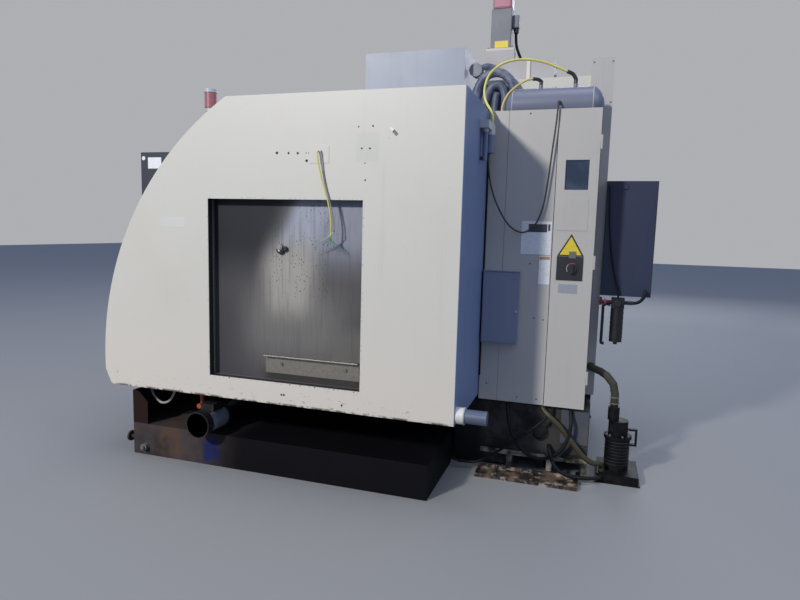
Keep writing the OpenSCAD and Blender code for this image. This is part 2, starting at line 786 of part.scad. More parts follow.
module electrical_cabinet() {
    shell = 3;
    front_x = cabinet_x1 - 5;
    color(cream) {
        difference() {
            block(cabinet_x0, front_x, cabinet_y0, cabinet_y1, cabinet_z0, cabinet_roof);
            block(cabinet_x0 + shell, front_x + 1, cabinet_y0 + shell, cabinet_y1 - shell, cabinet_z0 + shell,
                cabinet_roof - shell);
        }
        for (y = [780, 1180]) for (z = [700, 1900])
            block(column_x, cabinet_x0 + 1, y, y + 40, z, z + 60);
        for (z = hinge_heights) {
            block(front_x - 12, front_x, cabinet_y1 - 1, hinge_y, z - 40, z - 0.5);
            block(front_x - 1, hinge_x, cabinet_y1 + 0.5, hinge_y, z - 40, z - 0.5);
            rod_z(z - 40, z - 0.5, hinge_x, hinge_y, hinge_r);
            rod_z(z - 1, z + 36, hinge_x, hinge_y, 3);
        }
    }
    color(pale_grey) {
        block(cabinet_x0 + 20, cabinet_x0 + 24, cabinet_y0 + 30, cabinet_y1 - 30, 520, 2060);
        for (z = [620, 860, 1100]) for (i = [0:5])
            block(cabinet_x0 + 24, cabinet_x0 + 110, cabinet_y0 + 60 + 90 * i, cabinet_y0 + 130 + 90 * i, z, z + 120);
        block(cabinet_x0 + 24, cabinet_x0 + 180, cabinet_y0 + 60, cabinet_y1 - 80, 1400, 1900);
        for (y = [cabinet_y0 + 60, cabinet_y1 - 70]) for (z = [540, 2020])
            rod_x(cabinet_x0 + 2, cabinet_x0 + 21, y, z, 6);
    }
}

module cabinet_side_cover() {
    color(cream) difference() {
        block(cabinet_x1 - 5, cabinet_x1, cabinet_y0, cabinet_door_y0 - 4, cabinet_z0, lip_z);
        block(cabinet_x1 - 6, cabinet_x1 - sheet + 0.5, cabinet_y0 + sheet, cabinet_door_y0 - 4 - sheet,
            cabinet_z0 + sheet, lip_z - sheet);
    }
}

module cabinet_door() {
    door_x0 = cabinet_x1 - 5 + slide_gap;
    door_x1 = cabinet_x1 + 6;
    color(cream) {
        difference() {
            block(door_x0, door_x1, cabinet_door_y0, cabinet_y1, cabinet_z0, lip_z);
            block(door_x0 - 1, door_x1 - sheet, cabinet_door_y0 + sheet, cabinet_y1 - sheet, cabinet_z0 + sheet,
                lip_z - sheet);
            block(door_x0, door_x1 + 1, 1166, 1298, 1749, 1920);
            rod_x(door_x1 - 5, door_x1 + 1, switch_y, switch_z, 8);
        }
        block(door_x1 - 0.5, door_x1 + 2, 1125, 1307, 1513, 1700);
        for (z = hinge_heights) difference() {
            union() {
                block(door_x1 - 8, door_x1 - 1, cabinet_y1 - 1, hinge_y, z, z + 40);
                rod_z(z, z + 40, hinge_x, hinge_y, hinge_r);
            }
            rod_z(z - 1, z + 38, hinge_x, hinge_y, 3 + run_gap);
        }
    }
}

module cabinet_window() {
    lap = 8;
    color([0.16, 0.21, 0.30]) block(cabinet_x1, cabinet_x1 + 3, 1166 - lap, 1298 + lap, 1749 - lap, 1920 + lap);
}

module main_switch_plate() {
    x0 = cabinet_x1 + 6;
    color(near_black) difference() {
        union() {
            block(x0, x0 + 5, 1146, 1296, 1221, 1362);
            rod_x(x0 - 5, x0 + 7, switch_y, switch_z, 7.9);
            rod_x(x0 + 4, x0 + 9, switch_y, switch_z, 36);
        }
        rod_x(x0 - 4, x0 + 10, switch_y, switch_z, 5 + run_gap);
    }
}

module main_switch_knob() {
    x0 = cabinet_x1 + 15 + slide_gap;
    color(near_black) {
        rod_x(x0, x0 + 10, switch_y, switch_z, 26);
        block(x0 + 9, x0 + 24, switch_y - 8, switch_y + 8, switch_z - 26, switch_z + 26);
        rod_x(x0 - 11, x0 + 1, switch_y, switch_z, 5);
    }
}

module switch_box() {
    box_y1 = switch_box_y0 + switch_box_l;
    box_z1 = switch_box_z0 + switch_box_h;
    box_x1 = cabinet_x1 + switch_box_d;
    color(slate) {
        block(cabinet_x1, box_x1, switch_box_y0, box_y1, switch_box_z0, box_z1);
        block(box_x1 - 1, box_x1 + 2, switch_box_y0 + 6, box_y1 - 6, switch_box_z0 + 6, box_z1 - 6);
        for (z = [switch_box_z0 + 30, box_z1 - 30]) rod_x(box_x1 + 1, box_x1 + 5, box_y1 - 20, z, 6);
    }
}

module rear_duct() {
    duct_y0 = 1272;
    duct_y1 = 1405;
    duct_z0 = bed_top + 35;
    duct_z1 = 2565;
    color(cream) {
        block(duct_x0, duct_x1, duct_y0, duct_y1, duct_z0, duct_z1);
        block(column_x, duct_x0 + 1, duct_y0 + 10, column_rear - 10, 700, 740);
        block(column_x, duct_x0 + 1, duct_y0 + 10, column_rear - 10, 2380, 2420);
        for (z = [2300, 2540]) for (y = [duct_y0 + 12, duct_y1 - 12]) rod_x(duct_x1 - 1, duct_x1 + 3, y, z, 6);
    }
}

module air_tank() {
    dome = 60;
    cap_r = (tank_r * tank_r + dome * dome) / (2 * dome);
    color([0.30, 0.32, 0.37]) {
        rod_y(tank_y0 + dome, tank_y1 - dome, tank_x, tank_z, tank_r);
        for (end = [[tank_y0 + dome, -1], [tank_y1 - dome, 1]])
            translate([tank_x, end[0], tank_z]) rotate([-90 * end[1], 0, 0])
                rotate_extrude($fn = 48) intersection() {
                    square([tank_r, dome]);
                    translate([0, dome - cap_r]) circle(r = cap_r, $fn = 96);
                }
        for (y = [880, 1250]) difference() {
            block(tank_x - 80, tank_x + 80, y, y + 30, cabinet_roof, tank_z - 40);
            rod_y(y - 1, y + 31, tank_x, tank_z, tank_r - 1);
        }
        rod_x(tank_x + tank_r - 4, 722, 1108, tank_z, 9);
    }
    color([0.72, 0.62, 0.35]) {
        rod_z(tank_z + tank_r - 3, 2374, tank_x, 1190, 12);
        rod_z(2370, 2385, tank_x, 1190, 9);
        rod_z(tank_z + tank_r - 3, 2374, tank_x, 990, 12);
        rod_z(2370, 2385, tank_x, 990, 9);
        rod_z(cabinet_roof, 2150, 690, 775, 10);
    }
}

// Air preparation unit and pipe coupling on the rear wall
module rear_fittings() {
    stub_x = half_w - 50;
    stub_z = enclosure_bottom + 48;
    color(pale_grey) {
        block(790, 1010, enclosure_rear, enclosure_rear + 50, 2068, 2112);
        rod_z(2111, 2125, 800, 742, 11);
        rod_z(1945, 2069, 880, 742, 28);
        rod_z(1890, 2069, 975, 735, 14);
        rod_y(enclosure_rear, enclosure_rear + 48, stub_x, stub_z, 45);
    }
    color(slate) rod_y(enclosure_rear + 48, enclosure_rear + 165, stub_x, stub_z, 38);
    color(near_black) block(721, 752, enclosure_rear, enclosure_rear + 16, 1958, 1990);
}

// Casting on the column that carries the vertical screw and its motor
module motor_bracket() {
    wide = tower_w / 2;
    color(cream) difference() {
        union() {
            block(-wide - tower_foot, wide + tower_foot, tower_y0 + 25, tower_y1, column_top, column_top + tower_foot);
            block(-wide, wide, tower_y0, tower_y1, column_top + tower_foot - 1, tower_z1);
            block(-wide - tower_foot / 2, wide + tower_foot / 2, tower_y1 - tower_foot, beam_y1, column_top, beam_z1);
            for (x = [15 - wide, wide - tower_foot - 15]) block(x, x + tower_foot, beam_y1 - 5, rib_y1, column_top, rib_z1);
        }
        block(tower_foot - wide, wide - tower_foot, tower_y0 - 1, screw_z_y + wide - tower_foot,
            column_top + 2 * tower_foot, tower_z1 - 25);
        rod_z(column_top - 1, column_top + 2 * tower_foot + 1, 0, screw_z_y, lift_screw_r + run_gap);
        rod_z(tower_z1 - 26, tower_z1 + 1, 0, screw_z_y, 45);
    }
}

module servo_motors() {
    wide = tower_w / 2;
    small = small_motor_w / 2;
    body_z = tower_z1 + servo_h;
    color(near_black) {
        block(-wide, wide, screw_z_y - wide, screw_z_y + wide, tower_z1, tower_z1 + servo_flange);
        rod_z(tower_z1 + servo_flange - 1, body_z, 0, screw_z_y, servo_r);
        block(16 - servo_r, servo_r - 16, screw_z_y - servo_r + 6, screw_z_y + servo_r - 6, tower_z1 + 60, body_z - 30);
        rod_z(tower_z1 - wide, tower_z1 + 1, 0, screw_z_y, servo_flange);
        block(-small, small, bed_front - 200, bed_front, screw_y_z - small, screw_y_z + small);
        rod_y(bed_front - 260, bed_front - 199, 0, screw_y_z, small - 7);
    }
    color([0.62, 0.12, 0.10]) {
        rod_z(body_z - 1, body_z + servo_cap_h, 0, screw_z_y, servo_r - 4);
        rod_z(body_z + servo_cap_h - 1, body_z + servo_cap_h + 30, 0, screw_z_y, servo_r - 16);
    }
}

module screw_x() {
    reach = saddle_w / 2 - 1;
    color(bright_steel) rod_x(-reach, reach, spindle_y, screw_x_z, screw_r);
}

module screw_y() {
    color(bright_steel) rod_y(bed_front + 0.5, rear_bed_front - 5, 0, screw_y_z, screw_r);
}

module screw_z() {
    color(bright_steel) {
        rod_z(1121, 2560, 0, screw_z_y, lift_screw_r);
        rod_z(2559, 2630, 0, screw_z_y, 18);
        rod_z(2600, 2639.7, 0, screw_z_y, 32);
    }
}

module saddle() {
    groove = rail_w / 2 + slide_gap;
    reach = saddle_w / 2;
    channel = 60;
    color(cast_grey) difference() {
        union() {
            block(-reach, reach, saddle_y0, saddle_y1, saddle_z0, saddle_z1);
            for (y = [-way_y, way_y])
                block(-reach, reach, spindle_y + y - rail_w / 2, spindle_y + y + rail_w / 2, saddle_z1 - 1,
                    saddle_z1 + way_h);
            block(-35, 35, spindle_y - 60, spindle_y + 60, screw_y_z - 30, saddle_z0 + 1);
            block(reach - 1, reach + 170, spindle_y - 55, spindle_y + 55, screw_x_z - 55, screw_x_z + 55);
            rod_x(reach + 169, reach + 230, spindle_y, screw_x_z, 48);
        }
        both_sides() block(bed_rail_x - groove, bed_rail_x + groove, saddle_y0 - 1, saddle_y1 + 1, saddle_z0 - 1,
            bed_top + rail_h + slide_gap);
        block(-reach + 30, reach - 30, spindle_y - channel, spindle_y + channel, screw_x_z - 45, saddle_z1 + 1);
        rod_x(-reach - 1, reach - 0.5, spindle_y, screw_x_z, screw_r + run_gap);
        rod_y(spindle_y - 61, spindle_y + 61, 0, screw_y_z, screw_r + run_gap);
        for (x = [-420, -140, 140, 420]) for (s = [-1, 1])
            translate([x - 100, spindle_y + s * saddle_d / 2 - 15, saddle_z0 + 70]) cube([200, 30, 120]);
    }
}

module table() {
    groove = rail_w / 2 + slide_gap;
    reach = table_w / 2;
    y0 = spindle_y - table_d / 2;
    y1 = spindle_y + table_d / 2;
    color(bare_steel) difference() {
        union() {
            block(-reach, reach, y0, y1, table_z0, table_z1);
            block(-60, 60, spindle_y - 35, spindle_y + 35, screw_x_z - 33, table_z0 + 1);
        }
        for (y = [-way_y, way_y])
            block(-reach - 1, reach + 1, spindle_y + y - groove, spindle_y + y + groove, table_z0 - 1,
                saddle_z1 + way_h + slide_gap);
        for (i = [0:slot_count - 1]) translate([0, spindle_y + (i - (slot_count - 1) / 2) * slot_pitch, 0]) {
            block(-reach - 1, reach + 1, -slot_w / 2, slot_w / 2, table_z1 - 31, table_z1 + 1);
            block(-reach - 1, reach + 1, -slot_w / 2 - 7, slot_w / 2 + 7, table_z1 - 46, table_z1 - 30);
        }
        rod_x(-61, 61, spindle_y, screw_x_z, screw_r + run_gap);
    }
}

module spindle_head() {
    carriage_y0 = column_front - rail_h - 50;
    groove = rail_w / 2 + slide_gap;
    nut_z = head_z0 + 200;
    color(cream) difference() {
        union() {
            span_x(-head_w / 2, head_w / 2) polygon([[spindle_y - 140, head_z0], [spindle_y + 190, head_z0],
                [carriage_y0 - 28, head_z0 + 140], [carriage_y0 - 28, head_z1], [spindle_y - 140, head_z1]]);
            rod_z(nose_z + 30, head_z0 + 1, 0, spindle_y, 110);
            block(-300, 300, carriage_y0 - 28, carriage_y0 + 1, head_z0 + 40, head_z1);
            both_sides() for (z = [head_z0 + 50, head_z1 - 110])
                block(column_rail_x - 50, column_rail_x + 50, carriage_y0, column_front - 2, z, z + 100);
            block(-60, 60, carriage_y0, screw_z_y + 45, nut_z, nut_z + 90);
        }
        both_sides() block(column_rail_x - groove, column_rail_x + groove, column_front - rail_h - slide_gap,
            column_front, head_z0, head_z1 + 1);
        rod_z(nose_z, head_z1 + 1, 0, spindle_y, spindle_r + run_gap);
        rod_z(nut_z - 1, nut_z + 91, 0, screw_z_y, lift_screw_r + run_gap);
    }
    color(near_black) difference() {
        rod_z(head_z1, cover_top - 90, 0, spindle_y, 130);
        rod_z(head_z1 - 1, head_z1 + 60, 0, spindle_y, spindle_r + 2);
    }
}

module head_cover() {
    x = cover_w / 2;
    shelf_z = head_z1;
    color([0.55, 0.56, 0.62]) {
        difference() {
            block(-x, x, cover_y0, cover_y1, shelf_z - 60, cover_top);
            block(-x + sheet, x - sheet, cover_y0 + sheet, cover_y1 - sheet, shelf_z + sheet, cover_top - sheet);
            block(-x + sheet, x - sheet, cover_y0 + sheet, cover_y1 + 1, shelf_z - 61, shelf_z);
            block(-150, 150, spindle_y - 135, cover_y1 - 20, shelf_z - 1, shelf_z + sheet + 1);
        }
        translate([0, -60, cover_top]) {
            cylinder(r = 14, h = 10, $fn = 32);
            translate([0, 0, 33]) rotate([90, 0, 90]) rotate_extrude($fn = 32) translate([22, 0])
                circle(r = 7, $fn = 16);
            cylinder(r = 7, h = 18, $fn = 32);
        }
    }
}

module spindle() {
    taper_r = 35;
    color(bright_steel) difference() {
        union() {
            rod_z(nose_z, nose_z + 30 - slide_gap, 0, spindle_y, spindle_r + 6);
            rod_z(nose_z + 20, head_z1 + 20, 0, spindle_y, spindle_r);
        }
        translate([0, spindle_y, nose_z - 0.01]) cylinder(r1 = taper_r, r2 = 20, h = 103, $fn = 48);
        rod_z(nose_z + 100, head_z1 + 21, 0, spindle_y, 12);
        for (s = [-1, 1]) block(-8, 8, spindle_y + s * 52 - 14, spindle_y + s * 52 + 14, nose_z - 1, nose_z + 8);
    }
}

module tool_magazine() {
    color(cast_grey) difference() {
        union() {
            rod_x(disc_x0, disc_x1, spindle_y, magazine_z, pot_circle_r + 20);
            rod_x(disc_x0 - 10, disc_x1 + 20, spindle_y, magazine_z, 80);
            for (i = [0:pot_count - 1]) rotate_about_hub(i * 360 / pot_count)
                rod_x(pot_x0, pot_x1, spindle_y, magazine_z + pot_circle_r, pot_r);
        }
        rod_x(disc_x0 - 20, disc_x1 + 30, spindle_y, magazine_z, 30 + run_gap);
        for (i = [0:pot_count - 1]) rotate_about_hub(i * 360 / pot_count)
            rod_x(pot_x0 - 1, pot_x0 + 105, spindle_y, magazine_z + pot_circle_r, pot_r - 14);
        for (i = [0:5]) rotate_about_hub(30 + i * 60)
            rod_x(disc_x0 - 1, disc_x1 + 1, spindle_y, magazine_z + 165, 45);
    }
}

module rotate_about_hub(a) {
    translate([0, spindle_y, magazine_z]) rotate([a, 0, 0]) translate([0, -spindle_y, -magazine_z]) children();
}

module changer_bracket() {
    beam_z0 = magazine_z - 80;
    beam_z1 = magazine_z + 80;
    beam_y1 = enclosure_rear - 38;
    color(cream) difference() {
        union() {
            block(-520, -column_x, column_front + 10, beam_y1, beam_z0, beam_z1);
            block(hub_x, -500, spindle_y - 100, beam_y1, beam_z0, beam_z1);
            rod_x(hub_x - 54, hub_x + 1, spindle_y, magazine_z, 70);
            block(-520, -285, spindle_y - 80, spindle_y + 80, arm_z1 + 20, beam_z0 + 1);
        }
        rod_z(arm_z1 + 19, beam_z0 - 30, -arm_x, spindle_y, 25 + run_gap);
    }
    color(bright_steel) {
        rod_x(disc_x0 - 12, hub_x - 53, spindle_y, magazine_z, 30);
        rod_x(disc_x0 - 30, disc_x0 - 11, spindle_y, magazine_z, 45);
    }
}

module changer_arm() {
    claw_r = 46;
    color(bright_steel) translate([-arm_x, spindle_y, 0]) {
        difference() {
            translate([0, 0, arm_z0]) linear_extrude(height = arm_z1 - arm_z0) {
                circle(r = 60, $fn = 48);
                square([70, 2 * arm_reach], center = true);
                for (s = [-1, 1]) translate([0, s * arm_reach]) circle(r = claw_r + 14, $fn = 48);
            }
            for (s = [-1, 1]) translate([0, s * arm_reach, arm_z0 - 1]) {
                cylinder(r = claw_r - 8, h = 60, $fn = 48);
                translate([s > 0 ? -80 : 0, -claw_r + 16, 0]) cube([80, 2 * claw_r - 32, 60]);
            }
        }
        translate([0, 0, arm_z1 - 1]) cylinder(r = 25, h = 121, $fn = 48);
    }
}

module rear_box() {
    x0 = -300;
    shell = 3;
    color(dark_slate) {
        difference() {
            block(x0, rear_box_x1 - shell, rear_box_y0, rear_box_y1, rear_box_z0, rear_box_z1);
            block(x0 + shell, rear_box_x1 + 1, rear_box_y0 + shell, rear_box_y1 - shell, rear_box_z0 + shell,
                rear_box_z1 - shell);
        }
        block(rear_box_x1 - shell, rear_box_x1, rear_box_y0, rear_box_y1, rear_box_z0, rear_box_z1);
        for (x = [-260, 220]) for (z = [1200, 1700]) block(x, x + 40, column_rear, rear_box_y0 + 1, z, z + 60);
        block(rear_box_x1 - 1, rear_box_x1 + 8, 1500, 1528, rear_box_z1 - 48, rear_box_z1 - 24);
    }
}

module air_filter() {
    x = 470;
    color([0.45, 0.12, 0.12]) {
        block(duct_x0, x + 14, 1405, 1419, 1060, 1100);
        rod_y(1418, 1600, x, 1080, 12);
    }
    color(near_black) {
        block(x - 38, x + 38, 1474, 1550, 1046, 1108);
        rod_z(835, 1047, x, 1512, 38);
        rod_z(818, 836, x, 1512, 12);
        rod_z(815, 1070, x, 1428, 6);
        rod_y(1428, 1446, x, 821, 6);
    }
}

module pump_unit() {
    x = 550;
    y = 1562;
    color(near_black) {
        rod_z(54, 250, x, y, 72);
        rod_z(249, 268, x, y, 82);
        rod_z(267, 360, x, y, 58);
        block(x - 70, x + 60, y - 50, y + 50, 300, 345);
        rod_z(359, 440, x, y - 32, 34);
        block(x - 12, x + 12, y + 60, y + 112, 300, 312);
        block(x - 12, x + 12, y + 100, y + 112, 205, 312);
        block(x - 12, x + 12, y + 68, y + 112, 205, 217);
        tube([[x, y - 32, 435], [x, y - 32, 520], [x - 5, y - 45, 580], [x - 20, y - 85, 625], [x - 45, y - 125, 645],
            [x - 75, y - 162, 652], [x - 102, y - 181, 655], [duct_x1 + 14, y - 183, 655],
            [duct_x1, y - 183, 655]], 24, 12);
    }
    color(dark_slate) {
        block(x - 160, x + 150, y - 122, y + 138, 0, 6);
        difference() {
            block(x - 150, x + 140, y - 112, y + 128, 5, 55);
            block(x - 145, x + 135, y - 107, y + 123, 4, 50);
        }
    }
}

module signal_lamp() {
    color(pale_grey) {
        difference() {
            union() {
                rod_z(lamp_z - 80, lamp_z + 210, lamp_x, lamp_y, 12);
                rod_z(lamp_z - 80, lamp_z + 28, lamp_x, lamp_y, 26);
            }
            span_x(lamp_x - 50, lamp_x + 50) translate([curve_y, curve_z]) circle(r = curve_r + 0.2, $fn = 180);
        }
        rod_z(lamp_z + 209, lamp_z + 234, lamp_x, lamp_y, 30);
    }
    color([0.75, 0.22, 0.12]) rod_z(lamp_z + 234, lamp_z + 324, lamp_x, lamp_y, 37);
    color(pale_grey) rod_z(lamp_z + 324, lamp_z + 344, lamp_x, lamp_y, 40);
}

module pendant_bracket() {
    low_z = pendant_z0 - 180;
    back_y = pendant_back + 40;
    color(cast_grey) difference() {
        union() {
            for (z = [low_z, low_z + 136]) {
                block(pivot_x - 40, pivot_x + 40, pivot_y, back_y, z, z + 30);
                rod_z(z, z + 30, pivot_x, pivot_y, 40);
            }
            block(pivot_x - 40, pivot_x + 40, pivot_y + 80, back_y, low_z + 1, low_z + 165);
        }
        rod_z(low_z - 1, low_z + 167, pivot_x, pivot_y, pivot_r + run_gap);
        span_x(pivot_x - 50, pivot_x + 50) translate([curve_y, curve_z]) circle(r = curve_r + 0.2, $fn = 180);
    }
}

module pendant() {
    button_z = pendant_z0 + 75;
    color([0.20, 0.21, 0.25]) {
        difference() {
            span_x(pendant_x0, pendant_x1) polygon([[pendant_front, pendant_z0 + 60], [pendant_front + 40, pendant_z0],
                [pendant_back, pendant_z0], [pendant_back, pendant_z1], [pendant_front, pendant_z1]]);
            block(pendant_x0 + 50, pendant_x1 - 50, pendant_front - 1, pendant_front + 6, 1690, pendant_z1 - 35);
            for (x = button_x) rod_y(pendant_front - 1, pendant_front + 40, x, button_z, 8 + run_gap);
        }
        block(pendant_x0 + 50, pendant_x1 - 50, pendant_front - 4, pendant_front + 1, 1545, 1665);
        rod_z(pendant_z0 - 179, pendant_z0 + 1, pivot_x, pivot_y, pivot_r);
        rod_z(pendant_z0 - 14 + slide_gap, pendant_z0 + 1, pivot_x, pivot_y, 34);
    }
}

module pendant_screen() {
    color([0.10, 0.12, 0.14]) block(pendant_x0 + 51, pendant_x1 - 51, pendant_front + 1, pendant_front + 6, 1691,
        pendant_z1 - 36);
}

module push_button(x, head_r, front, travel) {
    z = pendant_z0 + 75;
    rod_y(pendant_front + 1, pendant_front + 38 - travel, x, z, 8);
    rod_y(front, pendant_front - travel - slide_gap, x, z, head_r);
    rod_y(front + 1, pendant_front + 2, x, z, 8);
}

module stop_button() {
    color([0.75, 0.10, 0.08]) push_button(button_x[0], 22, pendant_front - 32, 6);
}

module start_button() {
    color([0.15, 0.50, 0.22]) push_button(button_x[1], 13, pendant_front - 16, 4);
}

module mode_dial() {
    z = pendant_z0 + 75;
    color(near_black) {
        rod_y(pendant_front - 22, pendant_front - slide_gap, button_x[2], z, 24);
        rod_y(pendant_front - 1, pendant_front + 36, button_x[2], z, 8);
        block(button_x[2] - 3, button_x[2] + 3, pendant_front - 25, pendant_front - 21, z, z + 22);
    }
}

module hose_long() {
    color(hose_yellow) tube(hose_long_route, 7);
}

module hose_short() {
    color([0.86, 0.70, 0.30]) tube(hose_short_route, 6);
}

module loop_cable() {
    color(near_black) tube(loop_route, 5);
}

// Cables and hoses that the machine holds along their whole way
module held_hoses() {
    color(near_black) {
        tube(corner_route, 5.5);
        tube(rear_route, 6);
        tube(base_loop_route, 11);
        tube(base_hose_route, 12);
        tube(cross_route, 8);
    }
    color([0.33, 0.31, 0.20]) tube(olive_route, 17);
    color(pale_grey) tube(white_loop_route, 8);
}

module panel_cable_yellow() {
    color(hose_yellow) tube(yellow_route, 4);
}

module panel_cable_grey() {
    color([0.45, 0.46, 0.48]) tube(grey_route, 3.5);
}

base_casting();
levelling_feet();
column();
guide_rails();
side_panel_right();
side_panel_left();
inner_cover();
angle_plate();
front_end_panels();
front_sill();
roof_panel();
rear_walls();
splash_pan();
coolant_tank();
drip_tray();
auger_motor();
chip_auger();
electrical_cabinet();
cabinet_side_cover();
cabinet_door();
cabinet_window();
main_switch_plate();
main_switch_knob();
switch_box();
rear_duct();
air_tank();
rear_fittings();
motor_bracket();
servo_motors();
rear_box();
air_filter();
pump_unit();
signal_lamp();
pendant_bracket();
pendant();
pendant_screen();
stop_button();
start_button();
mode_dial();
door_right();
window_right();
door_left();
window_left();
saddle();
table();
screw_x();
screw_y();
screw_z();
spindle_head();
head_cover();
spindle();
tool_magazine();
changer_bracket();
changer_arm();
hose_long();
hose_short();
loop_cable();
held_hoses();
panel_cable_yellow();
panel_cable_grey();
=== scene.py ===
import bpy
import bmesh
import math
from mathutils import Matrix, Vector


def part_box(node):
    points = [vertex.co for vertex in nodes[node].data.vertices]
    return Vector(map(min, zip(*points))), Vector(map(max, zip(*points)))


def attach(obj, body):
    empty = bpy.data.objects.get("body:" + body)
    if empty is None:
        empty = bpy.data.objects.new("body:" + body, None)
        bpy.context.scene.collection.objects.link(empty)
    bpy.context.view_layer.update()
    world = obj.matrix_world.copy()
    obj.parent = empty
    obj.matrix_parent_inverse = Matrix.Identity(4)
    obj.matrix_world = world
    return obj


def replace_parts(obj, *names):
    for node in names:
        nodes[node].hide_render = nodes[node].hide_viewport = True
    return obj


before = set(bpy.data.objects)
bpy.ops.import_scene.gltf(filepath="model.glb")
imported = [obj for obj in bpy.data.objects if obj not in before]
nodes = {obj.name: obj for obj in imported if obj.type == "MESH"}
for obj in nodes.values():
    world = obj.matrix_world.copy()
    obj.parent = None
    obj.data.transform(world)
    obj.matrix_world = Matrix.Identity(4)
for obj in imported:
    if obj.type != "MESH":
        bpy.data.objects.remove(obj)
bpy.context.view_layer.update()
scene = bpy.context.scene

# Camera, as solved from the photograph's vanishing points

camera_place = (4.4, 1.35, 1.5)
camera_angles = (17.7, 6.8, 1.5)
sensor_mm = 36.0
lens_mm = 27.0


def make_camera():
    data = bpy.data.cameras.new("camera")
    data.sensor_width = sensor_mm
    data.lens = lens_mm
    yaw, pitch, roll = (math.radians(a) for a in camera_angles)
    ahead = Vector((-math.cos(yaw) * math.cos(pitch), -math.sin(yaw) * math.cos(pitch), -math.sin(pitch)))
    level = Vector((-math.sin(yaw), math.cos(yaw), 0.0))
    upright = level.cross(ahead)
    right = level * math.cos(roll) + upright * math.sin(roll)
    up = upright * math.cos(roll) - level * math.sin(roll)
    camera = bpy.data.objects.new("camera", data)
    turn = Matrix((right, up, -ahead)).transposed().to_4x4()
    camera.matrix_world = Matrix.Translation(camera_place) @ turn
    scene.collection.objects.link(camera)
    scene.camera = camera


make_camera()

# Finishes

class Finish:
    """A material made of nodes that read Object coordinates, in metres."""

    def __init__(self, name, color, rough=0.5, metal=0.0):
        self.material = bpy.data.materials.new(name)
        self.material.use_nodes = True
        self.tree = self.material.node_tree
        self.shader = self.tree.nodes["Principled BSDF"]
        self.color = color
        self.shader.inputs["Base Color"].default_value = (*color, 1.0)
        self.shader.inputs["Roughness"].default_value = rough
        self.shader.inputs["Metallic"].default_value = metal
        self.place = None

    def matte(self, level):
        """Less of paint's clear shine."""
        self.shader.inputs["Specular IOR Level"].default_value = level

    def node(self, kind, sockets=None, **settings):
        """A node with its settings, and its input sockets by name or number."""
        made = self.tree.nodes.new(kind)
        for key, value in settings.items():
            setattr(made, key, value)
        for key, value in (sockets or {}).items():
            self.feed(made.inputs[key], value)
        return made

    def feed(self, socket, value):
        if isinstance(value, bpy.types.NodeSocket):
            self.tree.links.new(value, socket)
        elif isinstance(value, (tuple, list)) and len(value) == 3 and socket.type == "RGBA":
            socket.default_value = (*value, 1.0)
        else:
            socket.default_value = value

    def point(self):
        if self.place is None:
            self.place = self.node("ShaderNodeTexCoord").outputs["Object"]
        return self.place

    def axis(self, letter):
        return self.node("ShaderNodeSeparateXYZ", {0: self.point()}).outputs[letter]

    def mapped(self, stretch, shift=(0.0, 0.0, 0.0)):
        sockets = {"Vector": self.point(), "Scale": stretch, "Location": shift}
        return self.node("ShaderNodeMapping", sockets).outputs[0]

    def noise(self, scale, detail=3.0, rough=0.6, stretch=(1.0, 1.0, 1.0), shift=(0.0, 0.0, 0.0)):
        place = self.mapped(stretch, shift)
        sockets = {"Vector": place, "Scale": scale, "Detail": detail, "Roughness": rough}
        return self.node("ShaderNodeTexNoise", sockets).outputs[0]

    def specks(self, scale, size, stretch=(1.0, 1.0, 1.0)):
        cells = self.node("ShaderNodeTexVoronoi", {"Vector": self.mapped(stretch), "Scale": scale})
        return self.fade(cells.outputs["Distance"], size, size * 0.6)

    def fade(self, value, low, high):
        """0 where value is at low and 1 where it is at high; low may be the larger one."""
        sockets = {"Value": value, "From Min": low, "From Max": high}
        made = self.node("ShaderNodeMapRange", sockets, interpolation_type="SMOOTHSTEP", clamp=True)
        return made.outputs[0]

    def along(self, letter, low, high):
        """A fade from one place to another along an axis."""
        return self.fade(self.axis(letter), low, high)

    def scaled(self, value, low, high):
        sockets = {"Value": value, "To Min": low, "To Max": high}
        return self.node("ShaderNodeMapRange", sockets, clamp=True).outputs[0]

    def math(self, operation, a, b):
        return self.node("ShaderNodeMath", {0: a, 1: b}, operation=operation, use_clamp=True).outputs[0]

    def times(self, *values):
        total = values[0]
        for value in values[1:]:
            total = self.math("MULTIPLY", total, value)
        return total

    def band(self, letter, low, high, soft=0.01):
        place = self.axis(letter)
        after = self.fade(place, low - soft, low + soft)
        return self.times(after, self.fade(place, high + soft, high - soft))

    def patch(self, low, high, soft=0.01):
        """1 inside the box from low to high, with soft edges."""
        masks = [self.band(letter, a, b, soft) for letter, a, b in zip("XYZ", low, high) if a is not None]
        return self.times(*masks)

    def tint(self, other, *masks):
        """Another colour wherever all the masks are 1."""
        sockets = {"Factor": self.times(*masks), "A": self.color, "B": other}
        made = self.node("ShaderNodeMix", sockets, data_type="RGBA", clamp_factor=True)
        self.color = made.outputs["Result"]
        self.feed(self.shader.inputs["Base Color"], self.color)

    def gloss(self, value, low, high):
        """Roughness from low to high as value goes from 0 to 1."""
        self.feed(self.shader.inputs["Roughness"], self.scaled(value, low, high))

    def ribs(self, scale):
        """Level rings around an upright part."""
        sockets = {"Vector": self.point(), "Scale": scale}
        return self.node("ShaderNodeTexWave", sockets, wave_type="BANDS", bands_direction="Z").outputs[1]

    def bump(self, height, strength, distance):
        made = self.node("ShaderNodeBump", {"Height": height, "Strength": strength, "Distance": distance})
        self.feed(self.shader.inputs["Normal"], made.outputs[0])


